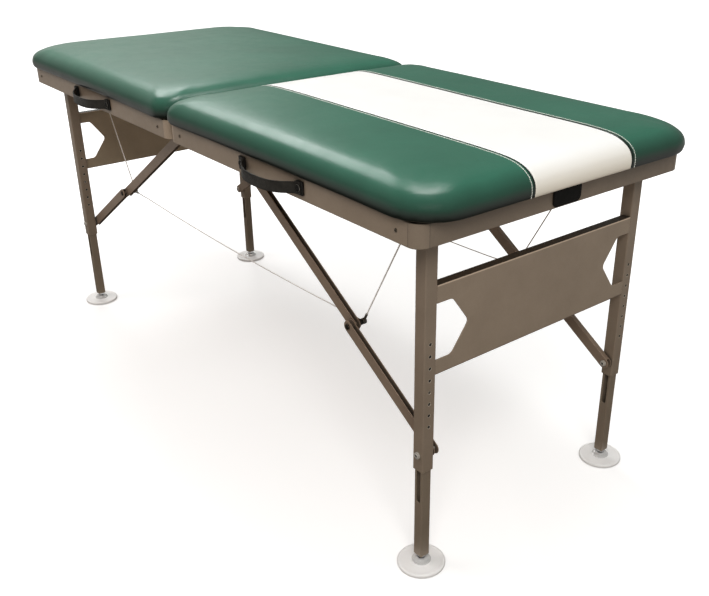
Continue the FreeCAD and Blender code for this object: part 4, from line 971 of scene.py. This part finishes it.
def straight(a, b):
    count = max(int((b - a).length / 0.0022), 2)
    return [a.lerp(b, i / count) for i in range(count + 1)]


def sleeve(a, b, radius):
    """A crimped ferrule on the rope between two points."""
    line = [a.lerp(b, t) for t in (0, 0.04, 0.1, 0.3, 0.36, 0.42, 0.58, 0.64, 0.7, 0.9, 0.96, 1)]
    scales = [0.6, 0.85, 1, 1, 0.86, 1, 1, 0.86, 1, 1, 0.85, 0.6]
    return sweep(line, circle(radius, 16), scales)


def eye(centre, radius, wire, toward):
    """A loop of rope round a post, closed towards a direction in the XZ plane."""
    direction = toward.normalized()
    cross = Vector((0, 1, 0)).cross(direction).normalized()
    tip = centre + direction * radius * 2.1
    path = [tip]
    for k in range(33):
        a = math.radians(35 + 290 * k / 32)
        path.append(centre + (direction * math.cos(a) + cross * math.sin(a)) * radius)
    return sweep(path + [tip], circle(wire, 10))


WIRE, LONG_WIRE = 1.6 * MM, 1.4 * MM
KNUCKLE_X, KNUCKLE_Z = 0.559872, 0.43912
STAY_Y = 0.2317
POST_EYE, ANCHOR_EYE = 5.3 * MM, 5.8 * MM
ANCHOR_X, ANCHOR_Z = 0.745, 0.768
SAG = 0.012
ROPE_END = KNUCKLE_X - 0.0046
MIDDLE_PART = 0.2
CRIMP = 2.9 * MM
LONG_CRIMP = 2.6 * MM
TWIST = 40.0
STUD = [(0.001, -4.2), (5.6, -4.2), (6.2, -3.6), (6.2, -2.6), (4.2, -2.3), (4.2, 2.4),
        (5.2, 2.8), (5.2, 9.0)]


def long_line(y, x_from, x_to):
    """The long stay between the knuckles: one shallow arc."""
    radius = (ROPE_END ** 2 + SAG ** 2) / (2 * SAG)
    count = int(abs(x_to - x_from) / 0.0035)
    points = []
    for i in range(count + 1):
        x = x_from + (x_to - x_from) * i / count
        points.append(Vector((x, y, KNUCKLE_Z - SAG + radius - math.sqrt(radius ** 2 - x ** 2))))
    return points


def build_stays(tag, y):
    """Short stays from the knuckles to the deck, and the long one in three parts."""
    for side, s in SIDES:
        knuckle = Vector((s * KNUCKLE_X, y, KNUCKLE_Z))
        anchor = Vector((s * ANCHOR_X, y, ANCHOR_Z))
        along = (anchor - knuckle).normalized()
        start = knuckle + along * 11.2 * MM
        end = anchor - along * 11.8 * MM
        short = "%s_%s_short_stay" % (side, tag)
        rope = new_object(short, *sweep(straight(start, end), rope_section(WIRE), twist=TWIST),
                          wire_coat)
        eyes = new_object(short + "_eyes", *join_parts([
            eye(knuckle, POST_EYE, WIRE, along), eye(anchor, ANCHOR_EYE, WIRE, -along)]),
            dull_wire)
        crimps = new_object(short + "_crimps", *join_parts([
            sleeve(knuckle + along * 10 * MM, knuckle + along * 25 * MM, CRIMP),
            sleeve(anchor - along * 10.6 * MM, anchor - along * 25 * MM, CRIMP)]), crimp_metal)
        stud = new_object("%s_%s_stay_stud" % (side, tag),
                          *turned(millimetres(STUD), anchor, 24), plated_screw)
        for piece in (rope, eyes, crimps):
            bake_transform(piece)
        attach(stud, side + "_deck")
        PIECES.setdefault(side + "_short_cables", []).append(rope)

        # the long stay's end bends out beside the short one's loop
        outward = Vector((-s, 0, -0.04)).normalized()
        beside = Vector((0, math.copysign(3.3 * MM, y), 0))
        line = long_line(y, s * ROPE_END, s * MIDDLE_PART)
        line = [p + beside * max(0.0, 1 - abs(abs(p.x) - KNUCKLE_X) / 0.09) for p in line[3:]]
        far = "%s_%s_long_stay" % (side, tag)
        rope = new_object(far, *sweep(line, rope_section(LONG_WIRE), twist=TWIST), wire_coat)
        loop = new_object(far + "_eye", *eye(knuckle + beside, POST_EYE, LONG_WIRE, outward),
                          dull_wire)
        crimp = new_object(far + "_crimp", *sleeve(knuckle + beside * 0.9 + outward * 10 * MM,
                                                   knuckle + beside * 0.75 + outward * 25 * MM,
                                                   LONG_CRIMP), crimp_metal)
        for piece in (rope, loop, crimp):
            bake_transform(piece)
        PIECES.setdefault("long_cables", []).append(rope)
    middle = new_object("%s_long_stay_middle" % tag,
                        *sweep(long_line(y, MIDDLE_PART, -MIDDLE_PART), rope_section(LONG_WIRE),
                               twist=TWIST), wire_coat)
    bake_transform(middle)
    PIECES["long_cables"].append(middle)


PIECES = {}
build_stays("back", STAY_Y)
build_stays("front", -STAY_Y)
for node_name, ropes in PIECES.items():
    for rope in ropes:
        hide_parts(node_name)


# ---------------------------------------------------------------- hardware
def mirrored(part, sx, sy):
    """A piece drawn for the right back corner, mirrored to another corner."""
    verts, faces = part
    verts = [Vector((v[0] * sx, v[1] * sy, v[2])) for v in verts]
    return verts, (faces if sx * sy > 0 else flipped(faces))


def hexagon(centre, radius, axis_y_out):
    """A flat hexagon facing out along Y."""
    verts = [Vector(centre) + Vector((radius * math.cos(math.radians(60 * k + 12)), 0,
                                      radius * math.sin(math.radians(60 * k + 12))))
             for k in range(6)]
    return verts, [tuple(range(6)) if axis_y_out < 0 else tuple(range(5, -1, -1))]


LEG_X, LEG_Y = 0.822, 0.291
LEG_HALF = 0.0143
BOLT_Z, NUT_FACE = 0.274, 0.2617
HOLES, HOLE_PITCH, LOWEST_HOLE = 8, 0.0254, 0.3402
BUTTON_HOLE = (3, 1)
RAIL_FACE, SCREW_Z = 0.365, 0.7545
CORNERS = [(side, tag, sx, sy) for side, sx in SIDES for tag, sy in (("back", 1), ("front", -1))]


def socket_head(y_face, out, radius):
    """A button head with a hexagon socket, and a near-black hexagon of painted shade at that
    socket's bottom.
    """
    profile = [(radius + 0.35, -0.05), (radius + 0.35, 0.9), (radius - 0.1, 2.2),
               (radius - 1.5, 3.7), (radius - 3.0, 4.7), (3.6, 5.0), (3.25, 4.8), (3.2, 3.7)]
    verts, faces = turned(millimetres([(r, out * h) for r, h in profile]),
                          (LEG_X, y_face, BOLT_Z), 36, "y")
    return ((verts, faces if out > 0 else flipped(faces)),
            hexagon((LEG_X, y_face + out * 3.75 * MM, BOLT_Z), 3.3 * MM, out))


def build_leg_hardware():
    for side, sx in SIDES:
        bright, dark = [], []
        for sy in (1, -1):
            for y_face, out in ((LEG_Y + LEG_HALF, 1), (NUT_FACE, -1)):
                head, socket = socket_head(y_face, out, 7.2)
                bright.append(mirrored(head, sx, sy))
                dark.append(mirrored(socket, sx, sy))
        heads = new_object(side + "_bolt_heads", *join_parts(bright), bright_bolt)
        # black hexagons of painted shade at the bottom of each bolt socket
        sockets = new_object(side + "_bolt_sockets", *join_parts(dark), recess_shade_black)
        for piece in (heads, sockets):
            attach(piece, side + "_leg_frame")

    for side, tag, sx, sy in CORNERS:
        where = "%s_%s_" % (side, tag)
        # rivet of the knuckle, on the lower arm
        rivet = turned(millimetres([(6.9, -0.05), (6.9, 1.2), (6.4, 2.2), (5.2, 2.9), (3.0, 3.4),
                               (1.4, 3.35), (1.2, 2.9), (0.001, 2.85)]),
                       (KNUCKLE_X, 0.2737, KNUCKLE_Z), 32, "y")
        piece = new_object(where + "knuckle_rivet", *mirrored(rivet, sx, sy), dark_bolt)
        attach(piece, where + "lower_brace")
        # black spool on the cable post, with a washer and an end knob
        spool = turned(millimetres([(0.001, -0.9), (3.4, -0.9), (5.4, -0.3), (6.6, 0.9), (6.9, 2.0),
                               (6.5, 3.1), (3.95, 3.3), (3.95, 9.6), (5.8, 9.8), (6.6, 10.6),
                               (6.6, 12.8), (5.6, 13.6), (5.6, 16.0), (8.2, 16.6), (9.4, 17.6),
                               (9.8, 19.0), (9.8, 21.8), (0.001, 21.85)]),
                       (KNUCKLE_X, 0.2271, KNUCKLE_Z), 36, "y")
        piece = new_object(where + "post_spool", *mirrored(spool, sx, sy), post_black)
        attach(piece, where + "upper_brace")


build_leg_hardware()


def build_height_holes():
    """Rims of the height holes, rubbed and painted lighter as a highlight, and discs of painted
    shade inside them, apart from the button's own hole.
    """
    rim = [(3.42, -0.55), (3.42, 0.02), (3.62, 0.14), (3.95, 0.13), (4.2, -0.04)]
    bottom = [(0.001, -1.0), (3.46, -1.0)]
    for side, sx in SIDES:
        rims, shade_discs = [], []
        for sy in (1, -1):
            for number in range(HOLES):
                for out in (1, -1):
                    place = (sx * LEG_X + out * LEG_HALF, sy * LEG_Y,
                             LOWEST_HOLE + HOLE_PITCH * number)
                    for profile, kept in ((rim, rims), (bottom, shade_discs)):
                        if kept is shade_discs and (number, out) == BUTTON_HOLE:
                            continue
                        verts, faces = turned(millimetres([(r, h * out) for r, h in profile]),
                                              place, 20, "x")
                        kept.append((verts, flipped(faces) if out > 0 else faces))
        worn_and_highlit = new_object(side + "_hole_rims", *join_parts(rims), rubbed_rim)
        # discs of painted shade inside the holes
        dark = new_object(side + "_hole_shade_discs", *join_parts(shade_discs), recess_shade_black)
        for piece in (worn_and_highlit, dark):
            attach(piece, side + "_leg_frame")


build_height_holes()


def build_rail_screws():
    profile = millimetres([(3.5, -0.05), (3.5, 0.6), (3.2, 1.2), (2.7, 1.6), (1.8, 1.75),
                           (1.65, 1.3)])
    for side, sx in SIDES:
        heads, sockets = [], []
        for sy in (1, -1):
            for x in (0.826, 0.0565):
                heads.append(mirrored(turned(profile, (x, RAIL_FACE, SCREW_Z), 24, "y"), sx, sy))
                # a black hexagon of painted shade in each screw's socket
                sockets.append(mirrored(hexagon((x, RAIL_FACE + 1.28 * MM, SCREW_Z), 1.75 * MM, 1),
                                        sx, sy))
        piece = new_object(side + "_screw_heads", *join_parts(heads), bronze_screw)
        hollow = new_object(side + "_screw_sockets", *join_parts(sockets), recess_shade_black)
        for made in (piece, hollow):
            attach(made, side + "_deck")


build_rail_screws()


def build_welds():
    """Rippled beads where the end panel's strips meet the legs."""
    for side, sx in SIDES:
        beads = []
        for sy in (1, -1):
            for z0, z1 in ((0.4512, 0.4800), (0.5975, 0.6300)):
                count = int((z1 - z0) / 0.0008)
                path = [(0.83515, 0.27745, z0 + (z1 - z0) * i / count) for i in range(count + 1)]
                swell = [0.25 if i in (0, count) else 0.86 + 0.14 * math.sin(i * 1.55)
                         for i in range(count + 1)]
                beads.append(mirrored(sweep(path, circle(1.75 * MM, 12), swell), sx, sy))
        piece = new_object(side + "_weld_beads", *join_parts(beads), frame_paint)
        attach(piece, side + "_leg_frame")


build_welds()


# ---------------------------------------------------------------- feet
def build_feet():
    for side, tag, sx, sy in CORNERS:
        where = "%s_%s_" % (side, tag)
        centre = (sx * LEG_X, sy * LEG_Y, 0)
        disc = [(0.001, 0.0), (44.0, 0.0), (46.5, 0.25), (48.4, 0.55), (49.3, 1.3), (49.85, 2.6),
                (50.0, 4.4), (49.8, 6.2), (49.2, 7.5), (48.2, 8.4), (46.8, 8.85), (45.0, 8.95),
                (43.6, 8.8), (42.6, 8.45), (41.4, 8.4), (34.0, 8.5), (27.0, 8.75), (23.0, 9.0),
                (21.6, 9.3), (20.7, 9.35), (20.2, 9.0), (0.001, 9.0)]
        base = new_object(where + "disc", *turned(millimetres(disc), centre, 96), nylon)
        cap = [(20.0, 8.9), (20.1, 10.2), (19.6, 11.2), (18.6, 11.7), (17.4, 11.8), (16.9, 12.3),
               (16.4, 13.6), (15.4, 15.3), (13.8, 16.6), (11.6, 17.3), (9.4, 17.5), (8.2, 17.2),
               (7.4, 16.4), (6.9, 15.0)]
        socket = new_object(where + "cap", *turned(millimetres(cap), centre, 64), cap_chrome)
        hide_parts(where + "foot_disc")
        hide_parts(where + "foot_cap")
        for piece, slot in ((base, "foot_nylon"), (socket, "cap_chrome")):
            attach(piece, where + "foot")


build_feet()


# ---------------------------------------------------------------- closure flap
def build_flap():
    """A soft flap with rounded lower corners that comes out from under the cushion."""
    low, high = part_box("closure_tab")
    width = (high.y - low.y) / 2
    top, bottom = high.z, low.z
    middle = (top + bottom) / 2
    corner = 0.011
    outline = [(-width, top), (-width, bottom + corner)]
    for y, first, steps in ((corner - width, 180, range(1, 9)), (width - corner, 270, range(9))):
        for k in steps:
            a = math.radians(first + 90 * k / 8)
            outline.append((y + corner * math.cos(a), bottom + corner + corner * math.sin(a)))
    outline.append((width, top))
    depth = [(low.x + 0.0001, 0.0006), (low.x + 0.0006, 0), (high.x - 0.0006, 0),
             (high.x - 0.0001, 0.0006), (high.x, 0.0018)]
    verts = []
    for x, inset in depth:
        for y, z in outline:
            verts.append((x, y - math.copysign(min(inset, abs(y)), y),
                          z + (inset if z < middle else 0)))
    faces = ringed(len(depth), len(outline))
    flap = new_object("end_flap", verts, faces, tab_black, smooth=False)
    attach(flap, "end_tab")
    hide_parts("closure_tab")

    # a row of stitches follows the flap's edge
    inset = 0.0042
    line = smooth_path([(high.x, y * (width - inset) / width, z + (inset if z < middle else 0))
                        for y, z in outline], 4)
    rows = [(p, Vector((1, 0, 0))) for p in line]
    parts = []
    for place, normal, tangent in resample(rows, 0.0034):
        if place.z > top - 0.002:
            continue
        a = place - tangent * 0.0012
        b = place + tangent * 0.0012
        mid = place + normal * 0.0002
        parts.append(sweep([a - normal * 0.0002, a.lerp(mid, 0.6), mid, b.lerp(mid, 0.6),
                            b - normal * 0.0002], circle(0.0003, 6), [0.4, 0.9, 1.1, 0.9, 0.4]))
    thread = new_object("end_flap_stitches", *join_parts(parts), post_black)
    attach(thread, "end_tab")


build_flap()


# ---------------------------------------------------------------- studio
def studio():
    size = 14.0
    mesh = bpy.data.meshes.new("studio_floor")
    mesh.from_pydata([(-size, -size, 0), (size, -size, 0), (size, size, 0), (-size, size, 0)],
                     [], [(0, 1, 2, 3)])
    floor = bpy.data.objects.new("studio_floor", mesh)
    bpy.context.scene.collection.objects.link(floor)
    s = Shader("studio_floor")
    s.set(Roughness=0.8, Specular_IOR_Level=0.0)
    s.color(s.ramp(s.noise(1.5), [(0.3, (0.87, 0.87, 0.87)), (0.7, (0.88, 0.88, 0.88))]))
    far = s.vector("LENGTH", s.coord, None)
    glow = s.node("ShaderNodeEmission")
    s.link(s.span(far, 0.34, 0.85, 0.9, 3.2), glow.inputs["Strength"])
    bright = s.node("ShaderNodeAddShader")
    s.link(s.bsdf.outputs[0], bright.inputs[0])
    s.link(glow.outputs[0], bright.inputs[1])
    dull = s.node("ShaderNodeBsdfDiffuse", Color=(0.42, 0.385, 0.35, 1))
    # glossy rays see the floor as a glow, dark near the table and bright further out: a painted
    # shadow round the table, seen only in reflections
    reflected = s.node("ShaderNodeEmission", Color=(1.0, 0.98, 0.94, 1))
    s.link(s.span(far, 0.03, 0.46, 1.05, 2.3), reflected.inputs["Strength"])
    rays, seen = s.rays()
    unseen = s.either(rays["Is Glossy Ray"], dull.outputs[0], reflected.outputs[0])
    s.link(s.either(seen, unseen, bright.outputs[0]), s.out.inputs[0])
    floor.data.materials.append(s.mat)

    world = bpy.data.worlds.new("studio")
    bpy.context.scene.world = world
    world.use_nodes = True
    w = Nodes(world.node_tree)
    place = w.node("ShaderNodeTexCoord").outputs["Generated"]
    light = w.node("ShaderNodeBackground", Color=(1.0, 0.985, 0.96, 1))
    w.link(w.span(w.axes(place)["Z"], 0.14, 0.66, 0.0, 0.8), light.inputs["Strength"])
    white = w.node("ShaderNodeBackground", Color=(1, 1, 1, 1), Strength=1.0)
    mirrored_world = w.node("ShaderNodeBackground", Color=(1.0, 0.995, 0.94, 1))
    glare = w.span(w.vector("DOT_PRODUCT", place, (-0.957, 0.134, 0.259)), 0.19, 0.66, 0.862, 0.985,
                   interpolation_type="SMOOTHSTEP")
    w.link(glare, mirrored_world.inputs["Strength"])
    rays, seen = w.rays()
    unseen = w.either(rays["Is Glossy Ray"], light.outputs[0], mirrored_world.outputs[0])
    w.link(w.either(seen, unseen, white.outputs[0]), w.node("ShaderNodeOutputWorld").inputs[0])

    def lamp(name, place, aim, size_x, size_y, watts, color, mirrored=True):
        data = bpy.data.lights.new(name, "AREA")
        data.shape = "RECTANGLE"
        data.size, data.size_y = size_x, size_y
        data.energy = watts
        data.color = color
        made = bpy.data.objects.new(name, data)
        bpy.context.scene.collection.objects.link(made)
        made.location = place
        made.rotation_euler = (Vector(aim) - Vector(place)).to_track_quat("-Z", "Y").to_euler()
        made.visible_glossy = mirrored

    lamp("key", (-1.3, -2.1, 2.7), (0.1, 0, 0.7), 1.4, 1.0, 20, (1, 0.88, 0.84), False)
    lamp("ceiling", (-0.2, 0.5, 3.3), (0.35, -0.05, 0.8), 0.7, 0.7, 20.5, (1, 0.995, 0.98))
    lamp("front", (2.7, -1.7, 2.9), (0.4, 0, 0.3), 1.6, 1.4, 56, (1, 0.985, 0.96), False)
    lamp("window", (-3.15, 0.7, 3.4), (0.2, -0.3, 0.8), 1.6, 1.7, 42, (0.98, 1, 1))


studio()
